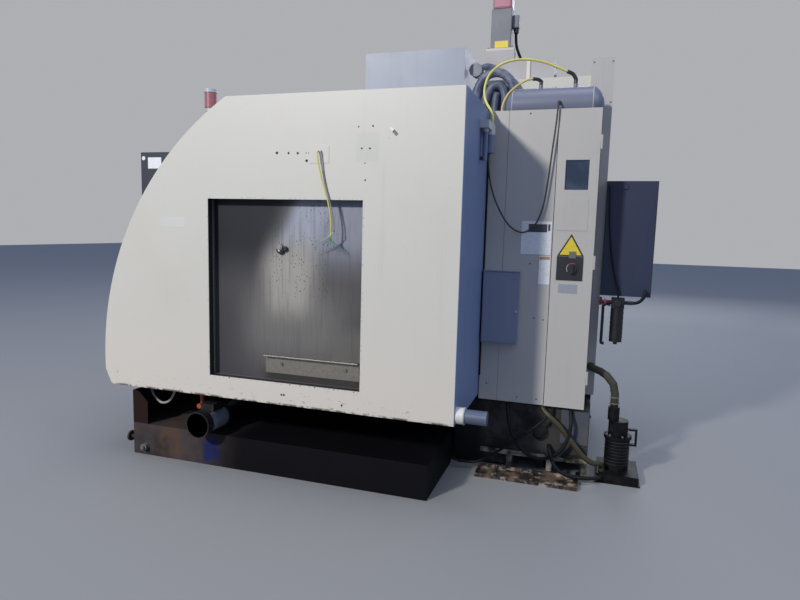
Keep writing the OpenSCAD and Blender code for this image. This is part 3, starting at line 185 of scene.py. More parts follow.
def paint(name, color, rough=0.42, grime=(0.23, 0.19, 0.14), grime_top=0.0, dust=0.5, wear=None):
    """Sprayed enamel with drips, dust, grime that thickens towards the floor, and chips."""
    made = Finish(name, color, rough)
    cloud = made.noise(1.7, 4.0)
    made.tint(tuple(c * 0.86 for c in color), made.fade(cloud, 0.45, 0.75), 0.5)
    drips = made.noise(3.0, 3.0, stretch=(7.0, 7.0, 0.5))
    made.tint(tuple(c * 0.78 for c in color), made.fade(drips, 0.55, 0.8), 0.35 * dust)
    if grime_top > 0:
        low = made.along("Z", grime_top, 0.0)
        blots = made.fade(made.noise(6.0, 5.0), 0.35, 0.7)
        made.tint(grime, low, blots, 0.9)
    fine = made.noise(38.0, 3.0)
    made.tint(tuple(c * 0.45 for c in color), made.fade(fine, 0.7, 0.78), 0.35 * dust)
    if wear:
        chips = made.fade(made.noise(24.0, 4.0, 0.7), 0.6, 0.66)
        made.tint(wear, chips, 0.6)
    made.gloss(cloud, rough - 0.08, rough + 0.14)
    made.bump(made.noise(260.0, 2.0), 0.06, 0.0006)
    return made


def plain_metal(name, color, rough=0.35, amount=0.5, stretch=(1.0, 1.0, 1.0)):
    """Machined or ground metal with fine lines and oil stains."""
    stain = (0.12, 0.1, 0.08)
    made = Finish(name, color, rough, 0.85)
    lines = made.noise(55.0, 3.0, stretch=stretch)
    made.tint(tuple(c * 0.72 for c in color), made.fade(lines, 0.4, 0.75), 0.5)
    cloud = made.noise(4.0, 5.0)
    made.tint(stain, made.fade(cloud, 0.5, 0.8), amount)
    made.gloss(lines, rough - 0.06, rough + 0.18)
    made.bump(lines, 0.08, 0.0008)
    return made


def dull(name, color, rough=0.6, dirt=(0.16, 0.13, 0.1), amount=0.4):
    """Rubber, plastic or oily cast surfaces with settled dirt."""
    made = Finish(name, color, rough)
    cloud = made.noise(9.0, 5.0)
    made.tint(dirt, made.fade(cloud, 0.5, 0.78), amount)
    fine = made.noise(70.0)
    made.tint(tuple(c * 0.6 for c in color), made.fade(fine, 0.5, 0.7), 0.35)
    made.gloss(cloud, rough - 0.12, min(1.0, rough + 0.15))
    made.bump(fine, 0.12, 0.001)
    return made


CREAM = (0.68, 0.66, 0.6)
# Slate: cream paint as it looks in the blue-lit shade on the rear faces, a painted shade.
SLATE_SHADE = (0.17, 0.23, 0.4)
DARK = (0.008, 0.008, 0.01)


def make_conduit():
    """Ribbed blue-grey plastic conduit."""
    made = Finish("conduit_plastic", (0.075, 0.09, 0.145), 0.45)
    dusty = made.noise(16.0, 4.0)
    made.tint((0.21, 0.23, 0.3), made.fade(dusty, 0.42, 0.66), 0.75)
    made.gloss(dusty, 0.32, 0.55)
    made.bump(made.ribs(34.0), 0.25, 0.002)
    return made


def make_base_paint():
    """Castings' enamel: cream above, brown with oil, coolant and painted shade lower down, and a painted
    shadow where the enclosure hides it.
    """
    made = paint("casting_enamel", CREAM, 0.5, dust=1.0)
    # Oil and coolant stains with painted shade: darker towards the floor.
    oil_and_shade = made.along("Z", 0.62, 0.44)
    made.matte(0.2)
    made.tint((0.052, 0.05, 0.047), oil_and_shade)
    spots = made.fade(made.noise(6.0, 5.0, 0.65, shift=(0.2, 0.6, 0.1)), 0.42, 0.62)
    made.tint((0.009, 0.008, 0.0075), oil_and_shade, spots, 0.92)
    worn = made.fade(made.noise(9.0, 4.0, 0.6, shift=(0.9, 0.1, 0.5)), 0.36, 0.6)
    rail = made.times(made.along("X", 0.6805, 0.6815), made.along("Z", 0.13, 0.125))
    made.tint((0.5, 0.44, 0.37), rail, worn, 0.95)
    # Painted shadow: near black where the enclosure stands over the casting.
    made.tint(DARK, oil_and_shade, made.along("Y", 0.78, 0.7))
    return made


def make_tray():
    """Sheet tray with rust, old oil and pale flakes."""
    made = Finish("drip_tray_rust", (0.16, 0.105, 0.075), 0.7)
    cloud = made.noise(9.0, 5.0, 0.65)
    made.tint((0.016, 0.012, 0.01), made.fade(cloud, 0.4, 0.56))
    flakes = made.noise(14.0, 5.0, 0.7, shift=(0.4, 0.9, 0.2))
    made.tint((0.46, 0.38, 0.31), made.fade(flakes, 0.52, 0.62), 0.85)
    made.gloss(cloud, 0.45, 0.8)
    made.bump(flakes, 0.25, 0.002)
    return made


def make_side_paint():
    """The right side panel: faded, chipped along its lower edge, with painted shade inside the recess's frame
    and slate painted shade on its folded rear edge.
    """
    made = Finish("side_panel_enamel", CREAM, 0.42)
    cloud = made.noise(1.3, 4.0)
    made.tint((0.62, 0.58, 0.5), made.fade(cloud, 0.5, 0.8), 0.45)
    drips = made.noise(2.6, 4.0, stretch=(7.0, 7.0, 0.35))
    made.tint((0.5, 0.45, 0.36), made.fade(drips, 0.58, 0.85), 0.3)
    faded = made.patch((1.35, 0.132, 1.846), (1.5, 0.258, 1.991), 0.012)
    made.tint((0.5, 0.56, 0.5), faded, 0.28)
    made.tint((0.74, 0.68, 0.6), made.along("Z", 1.2, 0.5), 0.8)
    low = made.along("Z", 0.62, 0.47)
    scuffs = made.fade(made.noise(46.0, 4.0, 0.7, stretch=(1.0, 0.7, 1.5)), 0.61, 0.68)
    made.tint((0.16, 0.12, 0.09), low, scuffs, 0.8)
    rim = made.math("SUBTRACT", made.patch((1.38, -0.8, 0.592), (1.5, 0.182, 1.652), 0.006),
                    made.patch((1.38, -0.792, 0.6), (1.5, 0.174, 1.644), 0.002))
    flakes = made.fade(made.noise(58.0, 4.0, 0.7, shift=(0.1, 0.3, 0.7)), 0.56, 0.62)
    lower = made.scaled(made.along("Z", 0.75, 0.62), 0.45, 1.0)
    made.tint((0.07, 0.06, 0.055), rim, flakes, lower)
    edge = made.along("Z", 0.487, 0.474)
    made.tint((0.1, 0.08, 0.06), edge, made.fade(made.noise(16.0, 4.0), 0.4, 0.56))
    pits = made.fade(made.noise(60.0, 3.0, 0.7), 0.69, 0.74)
    made.tint((0.13, 0.11, 0.1), pits, 0.55)
    # Painted shade: the recess frame's inner faces near black, and grey like the cover's steel further in.
    inner = made.times(made.along("X", 1.3972, 1.3962), made.along("Y", 0.3, 0.25))
    made.tint((0.022, 0.02, 0.02), inner)
    made.tint((0.12, 0.115, 0.115), inner, made.along("X", 1.3565, 1.3555))
    # Painted shade: the folded rear edge in slate, as the cream looks in the blue-lit shade.
    made.tint(SLATE_SHADE, made.along("Y", 0.7045, 0.7055))
    made.gloss(cloud, 0.34, 0.55)
    made.bump(made.noise(240.0, 2.0), 0.06, 0.0006)
    return made


def make_cover_steel():
    """The recess's cover: stainless sheet with painted reflections, a painted shadow under the angle plate,
    drips and dark specks.
    """
    made = Finish("recess_cover_steel", (0.075, 0.072, 0.078), 0.62, 0.5)
    drift = made.noise(1.5, 3.0, shift=(0.3, 0.1, 0.4))
    across = made.axis("Y")
    up = made.axis("Z")
    # Painted reflections: lighter to the right, a bluish slanting glow with a pale core, a warm upright
    # column in a halo, grey at the lower right.
    made.tint((0.13, 0.125, 0.125), drift, made.fade(across, -0.74, -0.4))
    below_top = made.math("SUBTRACT", 1.64, up)
    reflection_slant = made.math("ADD", made.math("ADD", across, 1.0), made.math("MULTIPLY", below_top, 0.47))
    reflection_glow = made.times(made.fade(reflection_slant, 0.62, 0.84), made.fade(up, 1.16, 1.44))
    made.tint((0.22, 0.23, 0.275), reflection_glow, 0.9)
    reflection_core = made.times(made.fade(reflection_slant, 0.7, 0.8), made.fade(reflection_slant, 1.08, 0.9), made.fade(up, 1.28, 1.46))
    made.tint((0.36, 0.38, 0.46), reflection_core, made.scaled(drift, 0.5, 1.0))
    column = made.times(made.band("Y", -0.46, -0.14, 0.09), made.band("Z", 0.96, 1.4, 0.13))
    made.tint((0.4, 0.375, 0.34), column, 0.95)
    reflection_halo = made.times(made.band("Y", -0.56, 0.02, 0.14), made.band("Z", 0.74, 1.12, 0.16))
    made.tint((0.215, 0.205, 0.19), reflection_halo, made.math("SUBTRACT", 1.0, column), 0.85)
    made.tint((0.17, 0.16, 0.145), made.fade(across, -0.08, 0.02), made.fade(up, 0.98, 0.86), 0.8)
    # Painted shadow below the angle plate.
    foot = made.times(made.fade(up, 0.69, 0.64), made.fade(across, -0.5, -0.4))
    made.tint((0.045, 0.04, 0.035), foot, 0.9)
    rain = made.noise(20.0, 4.0, stretch=(3.0, 3.0, 0.16))
    made.tint((0.08, 0.08, 0.09), made.fade(rain, 0.46, 0.72), 0.32)
    # Painted reflection: near black at the upper left.
    dark_reflection = made.times(made.fade(reflection_slant, 0.8, 0.6), made.fade(up, 1.1, 1.42))
    made.tint((0.016, 0.017, 0.022), dark_reflection, 0.9)
    near = made.times(made.band("Y", -0.42, -0.04, 0.1), made.fade(up, 1.04, 1.16))
    many = made.math("ADD", made.specks(66.0, 0.28, (1.0, 1.0, 0.75)), made.specks(41.0, 0.17))
    some = made.fade(made.noise(9.0, 2.0), 0.42, 0.56)
    made.tint((0.045, 0.042, 0.045), many, near, some, 0.75)
    made.tint((0.025, 0.022, 0.022), made.specks(30.0, 0.07), 0.7)
    made.gloss(rain, 0.52, 0.68)
    made.bump(rain, 0.05, 0.0006)
    return made


def make_coolant_paint():
    """The tank: near black towards the rear and on its top as painted shade under the enclosure, with a rust
    patch and a blue patch at the front.
    """
    made = paint("coolant_tank_enamel", (0.075, 0.06, 0.06), 0.55, grime=(0.02, 0.016, 0.014),
                 grime_top=0.3, wear=(0.065, 0.058, 0.056))
    made.matte(0.12)
    # Painted shade: near black towards the rear, under the enclosure.
    made.tint((0.003, 0.003, 0.005), made.along("Y", -1.0, -0.62), 0.97)
    # Painted shade: near black on the top, behind its front edge.
    shaded_top = made.along("Z", 0.2055, 0.2075)
    made.tint((0.006, 0.006, 0.008), shaded_top, made.along("Y", -1.25, -1.2))
    made.tint((0.024, 0.011, 0.009), made.along("Y", -0.9, -1.0), made.along("Z", 0.204, 0.208))
    ragged = made.fade(made.noise(9.0, 4.0), 0.32, 0.52)
    rust = made.patch((1.2, -1.23, 0.02), (1.4, -1.07, 0.21), 0.03)
    made.tint((0.105, 0.062, 0.042), rust, ragged, 0.85)
    blue = made.patch((1.2, -0.9, 0.02), (1.4, -0.79, 0.17), 0.02)
    made.tint((0.012, 0.02, 0.115), blue, ragged, 0.85)
    return made


def make_auger_motor():
    """Black end discs and flange, with a paler body between them."""
    made = Finish("auger_motor_finish", DARK, 0.45)
    cloud = made.noise(14.0, 4.0)
    body = made.times(made.band("X", 1.207, 1.374, 0.001), made.along("Z", 0.349, 0.347))
    made.tint((0.27, 0.29, 0.34), body)
    made.tint((0.05, 0.042, 0.035), made.fade(cloud, 0.45, 0.75), 0.6)
    made.gloss(cloud, 0.35, 0.6)
    made.bump(cloud, 0.1, 0.001)
    return made


def make_pump_finish():
    """The pump: black with oil and a little dust."""
    made = Finish("pump_finish", (0.004, 0.004, 0.005), 0.55)
    made.matte(0.2)
    cloud = made.noise(11.0, 4.0)
    made.tint((0.014, 0.013, 0.012), made.fade(cloud, 0.48, 0.7))
    elbow = made.times(made.along("Z", 0.42, 0.5), made.scaled(cloud, 0.5, 1.0))
    made.tint((0.085, 0.078, 0.055), elbow)
    made.gloss(cloud, 0.35, 0.7)
    made.bump(cloud, 0.15, 0.001)
    return made


def make_rear_fittings():
    """Pale block and hose collar, slate pipe end, bowls in slate as painted shade, black clip."""
    made = paint("rear_fittings_enamel", (0.55, 0.56, 0.58), 0.42, dust=0.8)
    # Painted shade: the bowls in slate, as they look in the blue-lit shade of the rear wall.
    shaded_bowls = made.times(made.along("Z", 2.0678, 2.0672), made.along("Z", 1.0, 1.1))
    made.tint((0.15, 0.19, 0.3), shaded_bowls)
    low = made.along("Z", 0.6, 0.58)
    made.tint((0.1, 0.125, 0.19), made.along("Y", 0.7562, 0.7568), low)
    made.tint((0.72, 0.71, 0.66), made.along("Y", 0.7562, 0.756), low)
    made.tint(DARK, made.band("X", 0.715, 0.7525, 0.0005), made.band("Z", 1.957, 1.991, 0.0005))
    return made


def make_lamp():
    """The signal lamp: red dome with a metal post and top."""
    made = Finish("signal_lamp_finish", (0.38, 0.135, 0.155), 0.3)
    post = made.along("Z", 2.2135, 2.2125)
    top = made.along("Z", 2.3035, 2.3045)
    made.tint((0.5, 0.51, 0.53), made.math("ADD", post, top))
    made.bump(made.ribs(60.0), 0.15, 0.001)
    return made


def make_filter():
    """The air filter: red pipe in front of a black head and bowl."""
    made = Finish("air_filter_finish", DARK, 0.4)
    cloud = made.noise(12.0, 4.0)
    made.tint((0.03, 0.028, 0.028), made.fade(cloud, 0.45, 0.7), 0.5)
    pipe = made.times(made.along("Y", 1.4745, 1.4735), made.along("Z", 1.0715, 1.0725))
    made.tint((0.22, 0.035, 0.055), pipe)
    made.gloss(cloud, 0.3, 0.55)
    return made


def make_motor_shell():
    """The servo motors' bodies: grey above, black on the one under the table."""
    made = Finish("servo_motor_shell", (0.16, 0.17, 0.2), 0.42)
    dust = made.noise(8.0, 4.0)
    made.tint((0.24, 0.24, 0.25), made.fade(dust, 0.42, 0.7), 0.6)
    made.tint(DARK, made.along("Z", 1.0, 0.9))
    made.gloss(dust, 0.35, 0.6)
    made.bump(dust, 0.08, 0.001)
    return made


def make_door_glass():
    """Scratched clear plastic."""
    rough = 0.08
    made = Finish("door_glass", (0.55, 0.6, 0.62), rough)
    made.shader.inputs["Transmission Weight"].default_value = 0.8
    made.shader.inputs["IOR"].default_value = 1.49
    scratches = made.noise(30.0, 4.0, stretch=(0.2, 1.0, 1.0))
    made.gloss(scratches, rough, rough + 0.25)
    return made


def make_dark_pane(name, color, rough, haze, mask, amount):
    """Dark glass with a haze; mask is the haze's noise scale and where it fades in and ends."""
    made = Finish(name, color, rough)
    scale, low, high = mask
    made.tint(haze, made.fade(made.noise(scale), low, high), amount)
    return made


cream = paint("cream_enamel", CREAM)
slate_shade = paint("slate_shade_enamel", SLATE_SHADE, 0.45)
box_grey = paint("switch_box_enamel", (0.25, 0.28, 0.38), 0.45)
rear_blue = paint("rear_box_enamel", (0.025, 0.033, 0.072), 0.42)
pale = paint("pale_enamel", (0.55, 0.56, 0.58), 0.45)
pale_cream = paint("flange_enamel", (0.62, 0.58, 0.52), 0.4, dust=1.2)
iron = dull("oily_cast_iron", (0.15, 0.155, 0.16), 0.45)
black = dull("black_machine_parts", DARK, 0.5)
hose_black = dull("black_rubber", (0.01, 0.01, 0.012), 0.5, (0.035, 0.03, 0.025), 0.3)
cable_grey = dull("cable_sheath", (0.045, 0.042, 0.046), 0.45, (0.03, 0.025, 0.02), 0.3)
conduit_blue = make_conduit()
black_plastic = dull("black_plastic", (0.025, 0.025, 0.028), 0.4, amount=0.15)
brass = plain_metal("brass_fitting", (0.55, 0.42, 0.18), 0.35)
yellow_pipe = dull("yellow_air_hose", (0.72, 0.66, 0.16), 0.4, (0.45, 0.35, 0.1), 0.25)
orange_pipe = dull("faded_air_hose", (0.72, 0.55, 0.16), 0.4, (0.62, 0.3, 0.1), 0.4)
yellow_wire = dull("yellow_sheath", (0.74, 0.66, 0.1), 0.45, (0.4, 0.33, 0.08), 0.2)
grey_wire = dull("grey_sheath", (0.25, 0.26, 0.28), 0.45, amount=0.2)
white_hose = dull("pale_hose", (0.42, 0.41, 0.4), 0.5)
olive = dull("olive_conduit", (0.048, 0.041, 0.018), 0.5, (0.02, 0.017, 0.012), 0.5)
white_plate = dull("white_plate", (0.88, 0.89, 0.91), 0.4, (0.6, 0.6, 0.6), 0.4)
grey_plate = dull("grey_plate", (0.33, 0.35, 0.4), 0.45, amount=0.2)
soft_line = dull("faint_seam", (0.2, 0.19, 0.18), 0.8)
warning_yellow = dull("yellow_plate", (0.8, 0.62, 0.04), 0.4, (0.45, 0.33, 0.04), 0.25)
dark_line = dull("dark_seam", (0.03, 0.028, 0.026), 0.8)
# Pinkish red: partly the real red, partly a painted glare from a lamp behind the servo cap.
red_plastic = dull("red_plastic", (0.47, 0.19, 0.24), 0.35, amount=0.15)
green_wire = dull("green_wire", (0.05, 0.24, 0.12), 0.4, amount=0.1)
white_wire = dull("white_wire", (0.55, 0.54, 0.52), 0.4, amount=0.1)
motor_grey = dull("motor_grey", (0.2, 0.215, 0.25), 0.45, amount=0.3)
hose_black.matte(0.2)
motor_shell = make_motor_shell()

node_finishes = [
    (cream, "front_end_panels front_sill roof_panel door_right door_left spindle_head changer_bracket"),
    (make_side_paint(), "side_panel_right"),
    (paint("left_panel_enamel", CREAM, dust=0.8), "side_panel_left"),
    (make_cover_steel(), "inner_cover"),
    (plain_metal("angle_plate_steel", (0.27, 0.25, 0.22), 0.55, amount=0.3), "angle_plate"),
    # The rear walls are cream walls painted slate, a painted shade.
    (slate_shade, "rear_walls"),
    (paint("pan_enamel", (0.3, 0.3, 0.3), 0.55, grime_top=0.9), "splash_pan"),
    (make_door_glass(), "window_right window_left"),
    (make_base_paint(), "base_casting column"),
    (make_coolant_paint(), "coolant_tank"),
    (make_tray(), "drip_tray"),
    (make_auger_motor(), "auger_motor"),
    (black, "servo_motors levelling_feet"),
    (plain_metal("ground_steel", (0.62, 0.63, 0.65), 0.25, amount=0.15),
     "guide_rails screw_x screw_y screw_z spindle changer_arm"),
    (plain_metal("table_steel", (0.42, 0.42, 0.42), 0.35, stretch=(0.1, 1.0, 1.0)), "table chip_auger"),
    (iron, "saddle tool_magazine pendant_bracket"),
    # Head cover: grey-blue paint darkened for the shade it sits in, a painted shade.
    (paint("head_cover_shaded_enamel", (0.27, 0.3, 0.37), 0.4, dust=1.2), "head_cover"),
    (paint("cabinet_enamel", (0.53, 0.51, 0.48), 0.4, dust=0.9),
     "electrical_cabinet cabinet_side_cover cabinet_door"),
    (make_dark_pane("smoked_window", (0.035, 0.05, 0.085), 0.12, (0.1, 0.13, 0.19), (7.0, 0.45, 0.75), 0.5),
     "cabinet_window"),
    (box_grey, "switch_box"),
    (paint("duct_enamel", (0.5, 0.48, 0.46), 0.42, dust=1.0), "rear_duct"),
    (paint("air_tank_enamel", (0.185, 0.2, 0.265), 0.3), "air_tank"),
    (make_rear_fittings(), "rear_fittings"),
    # Motor bracket: paint darkened to grey for the shade it stands in, a painted shade.
    (paint("bracket_shaded_enamel", (0.44, 0.42, 0.42), 0.45, dust=1.0), "motor_bracket"),
    (rear_blue, "rear_box"),
    (make_filter(), "air_filter"),
    (make_pump_finish(), "pump_unit"),
    (make_lamp(), "signal_lamp"),
    (paint("operator_panel_enamel", (0.035, 0.038, 0.055), 0.45), "pendant"),
    (make_dark_pane("screen_glass", (0.008, 0.01, 0.012), 0.1, (0.03, 0.035, 0.04), (9.0, 0.5, 0.7), 0.4),
     "pendant_screen"),
    (red_plastic, "stop_button"),
    (dull("green_plastic", (0.04, 0.22, 0.06), 0.35, amount=0.15), "start_button"),
    (black_plastic, "main_switch_plate main_switch_knob mode_dial"),
    (hose_black, "held_hoses"),
]
for finish, names in node_finishes:
    for name in names.split():
        for slot in nodes[name].material_slots:
            slot.material = finish.material

# Piece makers

AXES = {"X": Matrix.Rotation(math.radians(90), 4, "Y"), "Y": Matrix.Rotation(math.radians(-90), 4, "X"),
        "Z": Matrix.Identity(4)}


def mesh_object(bm, name, finish):
    mesh = bpy.data.meshes.new(name)
    bm.to_mesh(mesh)
    bm.free()
    mesh.materials.append(finish.material)
    made = bpy.data.objects.new(name, mesh)
    scene.collection.objects.link(made)
    return made


def place_piece(bm, name, finish, body="machine", bevel=0.0, smooth=False):
    """A mesh piece of one finish that rides on a body."""
    bmesh.ops.recalc_face_normals(bm, faces=bm.faces)
    piece = mesh_object(bm, name, finish)
    if smooth:
        for face in piece.data.polygons:
            face.use_smooth = True
    if bevel > 0:
        soften = piece.modifiers.new("rounded edges", "BEVEL")
        soften.width = bevel
        soften.segments = 2
        soften.limit_method = "ANGLE"
    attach(piece, body)
    return piece


def add_block(bm, low, high):
    size = [b - a for a, b in zip(low, high)]
    middle = [(a + b) / 2 for a, b in zip(low, high)]
    made = bmesh.ops.create_cube(bm, size=1.0)
    bmesh.ops.scale(bm, vec=size, verts=made["verts"])
    bmesh.ops.translate(bm, vec=middle, verts=made["verts"])
    return made["verts"]


def add_rod(bm, axis, start, length, radius, tip=None, segments=32):
    """A round bar that runs from start along +axis; tip is its radius at the far end."""
    made = bmesh.ops.create_cone(bm, cap_ends=True, segments=segments, radius1=radius,
                                 radius2=radius if tip is None else tip, depth=length)
    bmesh.ops.translate(bm, vec=(0, 0, length / 2), verts=made["verts"])
    bmesh.ops.transform(bm, matrix=AXES[axis], verts=made["verts"])
    bmesh.ops.translate(bm, vec=start, verts=made["verts"])


def add_tube(bm, line, radius, sides, level=False):
    """A round tube along the line's points, its rings square to the line, or all level."""
    normal = None
    last = set()
    for i, here in enumerate(line):
        turn = Matrix.Identity(4)
        if not level:
            ahead = (line[min(i + 1, len(line) - 1)] - line[max(i - 1, 0)]).normalized()
            if normal is None:
                normal = ahead.orthogonal().normalized()
            normal = (normal - normal.dot(ahead) * ahead).normalized()
            turn = Matrix((normal, ahead.cross(normal), ahead)).transposed().to_4x4()
        circle = bmesh.ops.create_circle(bm, cap_ends=i in (0, len(line) - 1), segments=sides, radius=radius)
        bmesh.ops.transform(bm, matrix=Matrix.Translation(here) @ turn, verts=circle["verts"])
        edges = {e for v in circle["verts"] for e in v.link_edges}
        if last:
            bmesh.ops.bridge_loops(bm, edges=list(last | edges))
        last = edges


def blocks(name, finish, boxes, body="machine", bevel=0.001):
    """Blocks from corner to corner, as one piece."""
    bm = bmesh.new()
    for low, high in boxes:
        add_block(bm, low, high)
    return place_piece(bm, name, finish, body, bevel)


def rods(name, finish, bars, body="machine", bevel=0.0008, segments=32):
    """Round bars as one piece, each (axis, start, length, radius) and a tip radius if it tapers."""
    bm = bmesh.new()
    for axis, start, length, radius, *tip in bars:
        add_rod(bm, axis, start, length, radius, *tip, segments=segments)
    return place_piece(bm, name, finish, body, bevel)


def face_plates(name, finish, back, front, areas, body="machine", bevel=0.001):
    """Plates that face +X, from x = back to x = front; an area is its low and high (y, z)."""
    return blocks(name, finish, [((back, *low), (front, *high)) for low, high in areas], body, bevel)


def face_screws(name, finish, start, height, screws, body="machine", bevel=0.0, segments=12):
    """Screw heads or holes that face +X from x = start, each (y, z, radius)."""
    bars = [("X", (start, y, z), height, radius) for y, z, radius in screws]
    return rods(name, finish, bars, body, bevel, segments)


def hex_nuts(name, finish, bars):
    rods(name, finish, bars, bevel=0.001, segments=6)


def tilted_plate(name, finish, centre, size, angle):
    """A thin plate that lies against a face towards +X, turned about X by an angle in degrees."""
    bm = bmesh.new()
    verts = add_block(bm, [-s / 2 for s in size], [s / 2 for s in size])
    turn = Matrix.Rotation(math.radians(angle), 4, "X")
    bmesh.ops.transform(bm, matrix=Matrix.Translation(centre) @ turn, verts=verts)
    place_piece(bm, name, finish)


def arc_strip(name, finish, body, centre, radius, width, start, end):
    """A flat ring segment that faces +X, spun about its centre between two angles in degrees."""
    depth = 0.0008
    low = math.radians(start)
    inner, outer = [(math.cos(low) * r, math.sin(low) * r) for r in (radius - width / 2, radius + width / 2)]
    bm = bmesh.new()
    verts = [bm.verts.new(c) for c in ((0.0, *inner), (0.0, *outer), (depth, *outer), (depth, *inner))]
    face = bm.faces.new(verts)
    bmesh.ops.spin(bm, geom=[face, *face.edges, *face.verts], cent=(0, 0, 0), axis=(1, 0, 0), dvec=(0, 0, 0),
                   angle=math.radians(end - start), steps=20, use_merge=False)
    bmesh.ops.translate(bm, vec=centre, verts=bm.verts)
    place_piece(bm, name, finish, body)


def ring_bead(name, finish, centre, axis, radius, thick):
    """A round bead about an axis, spun from a small circle."""
    bm = bmesh.new()
    circle = bmesh.ops.create_circle(bm, cap_ends=False, segments=8, radius=thick)
    verts = circle["verts"]
    upright = Matrix.Rotation(math.radians(90), 4, "X")
    bmesh.ops.transform(bm, matrix=Matrix.Translation((radius, 0, 0)) @ upright, verts=verts)
    edges = list({e for v in verts for e in v.link_edges})
    bmesh.ops.spin(bm, geom=edges + verts, cent=(0, 0, 0), axis=(0, 0, 1), dvec=(0, 0, 0),
                   angle=math.radians(360), steps=64, use_merge=True)
    bmesh.ops.remove_doubles(bm, verts=bm.verts, dist=0.00001)
    bmesh.ops.transform(bm, matrix=Matrix.Translation(centre) @ AXES[axis], verts=bm.verts)
    place_piece(bm, name, finish, smooth=True)


def smooth_path(points, steps=4):
    """Points on a smooth line through the route's points, given in millimetres."""
    route = [Vector(p) / 1000.0 for p in points]
    ends = [2 * route[0] - route[1]] + route + [2 * route[-1] - route[-2]]
    line = []
    for a, b, c, d in zip(ends, ends[1:], ends[2:], ends[3:]):
        for step in range(steps):
            t = step / steps
            line.append(0.5 * (2 * b + (c - a) * t + (2 * a - 5 * b + 4 * c - d) * t * t
                               + (3 * b - a - 3 * c + d) * t ** 3))
    line.append(route[-1])
    return line


def tube(name, points, radius, finish, steps=4, sides=12):
    """A hose swept along a smooth path; gives the piece and the path."""
    line = smooth_path(points, steps)
    bm = bmesh.new()
    add_tube(bm, line, radius, sides)
    return place_piece(bm, name, finish, smooth=True), line


# Hoses and cables; their routes are in millimetres and repeat part.scad's

hose_long_route = [[600, 1190, 2385], [600, 1190, 2400], [606, 1172, 2428], [622, 1105, 2458],
    [645, 1015, 2492], [670, 925, 2508], [690, 840, 2505], [710, 765, 2480], [725, 705, 2430],
    [735, 680, 2370], [740, 675, 2310], [748, 692, 2254], [768, 724, 2204], [793, 740, 2160],
    [800, 742, 2135], [800, 742, 2125]]
hose_short_route = [[600, 990, 2385], [600, 990, 2397], [610, 968, 2408], [632, 915, 2402], [650, 860, 2370],
    [672, 810, 2320], [686, 782, 2260], [690, 775, 2200], [690, 775, 2150]]
loop_route = [[722, 1108, 2250], [736, 1108, 2250], [747, 1107, 2225], [750, 1101, 2120], [750, 1088, 1980],
    [750, 1072, 1800], [750, 1050, 1640], [750, 1010, 1540], [750, 955, 1498], [750, 895, 1508],
    [750, 838, 1560], [750, 785, 1650], [750, 745, 1750], [747, 724, 1850], [743, 716, 1930],
    [743, 716, 1958]]
yellow_route = [[1402, -88, 1900], [1412, -88, 1900], [1421, -86, 1885], [1421, -76, 1820], [1415, -51, 1720],
    [1412, -27, 1640], [1410, -10, 1560], [1410, -6, 1500], [1410, -8, 1440]]
grey_route = [[1402, -72, 1900], [1408, -72, 1900], [1413, -69, 1885], [1411, -60, 1800], [1410, -40, 1710],
    [1410, -12, 1620], [1410, 8, 1530], [1410, 12, 1470]]


def free_cord(name, node, route, radius, finish):
    """A hanging cord that stands for its node and is as long as its route."""
    piece, line = tube(name, route, radius, finish)
    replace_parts(piece, node)


def wire_ends(name, top, finish, spread):
    """Bare wires that splay out of a cable's cut end; each goes across and drops, in millimetres."""
    bm = bmesh.new()
    x, y, z = top
    for across, drop in spread:
        line = smooth_path([top, (x + 3, y + across * 0.3, z - drop * 0.4), (x + 4, y + across, z - drop)], 3)
        add_tube(bm, line, 0.0018, 6, level=True)
    return place_piece(bm, name, finish, smooth=True)


free_cord("long_air_hose", "hose_long", hose_long_route, 0.007, yellow_pipe)
free_cord("short_air_hose", "hose_short", hose_short_route, 0.006, orange_pipe)
free_cord("looping_cable", "loop_cable", loop_route, 0.005, cable_grey)
yellow_wires = wire_ends("yellow_cable_wires", (1410, -8, 1444), green_wire,
                         [(-62, 34), (-40, 44), (-18, 50), (4, 46), (24, 56), (40, 44), (52, 62)])
grey_wires = wire_ends("grey_cable_wires", (1410, 12, 1474), white_wire, [(-84, 66), (-112, 74), (-100, 56)])
free_cord("yellow_panel_cable", "panel_cable_yellow", yellow_route, 0.004, yellow_wire)
free_cord("grey_panel_cable", "panel_cable_grey", grey_route, 0.0035, grey_wire)

# Hoses that the machine holds along their way

corner = [[727, 714, 1958], [727, 714, 1800], [727, 714, 1500], [727, 714, 1050], [727, 714, 600]]
rear = [[450, 1418, 1795], [462, 1418, 1795], [475, 1420, 1788], [482, 1424, 1750], [486, 1430, 1600],
    [488, 1452, 1400], [486, 1485, 1230], [474, 1511, 1150], [470, 1512, 1122], [470, 1512, 1108]]
loop = [[700, 897, 447], [700, 897, 428], [718, 902, 385], [742, 930, 270], [742, 985, 175],
    [742, 1060, 122], [742, 1140, 118], [742, 1215, 165], [742, 1265, 245], [738, 1284, 340],
    [708, 1279, 400], [700, 1278, 428], [700, 1278, 447]]
side = [[680, 1160, 185], [702, 1160, 185], [740, 1172, 155], [765, 1200, 95], [772, 1250, 55],
    [774, 1330, 42], [765, 1400, 42], [738, 1448, 41], [708, 1470, 40], [690, 1470, 40]]
cross = [[790, 550, 60], [790, 572, 60], [782, 650, 45], [768, 740, 58], [762, 873, 145], [762, 1020, 266],
    [748, 1120, 358], [710, 1165, 405], [700, 1170, 428], [700, 1170, 447]]
bend = [[699, 1110, 447], [699, 1110, 428], [712, 1128, 405], [728, 1160, 380], [732, 1218, 330],
    [732, 1296, 240], [730, 1360, 165], [716, 1415, 125], [684, 1457, 112], [656, 1474, 92],
    [650, 1476, 72], [650, 1476, 55]]
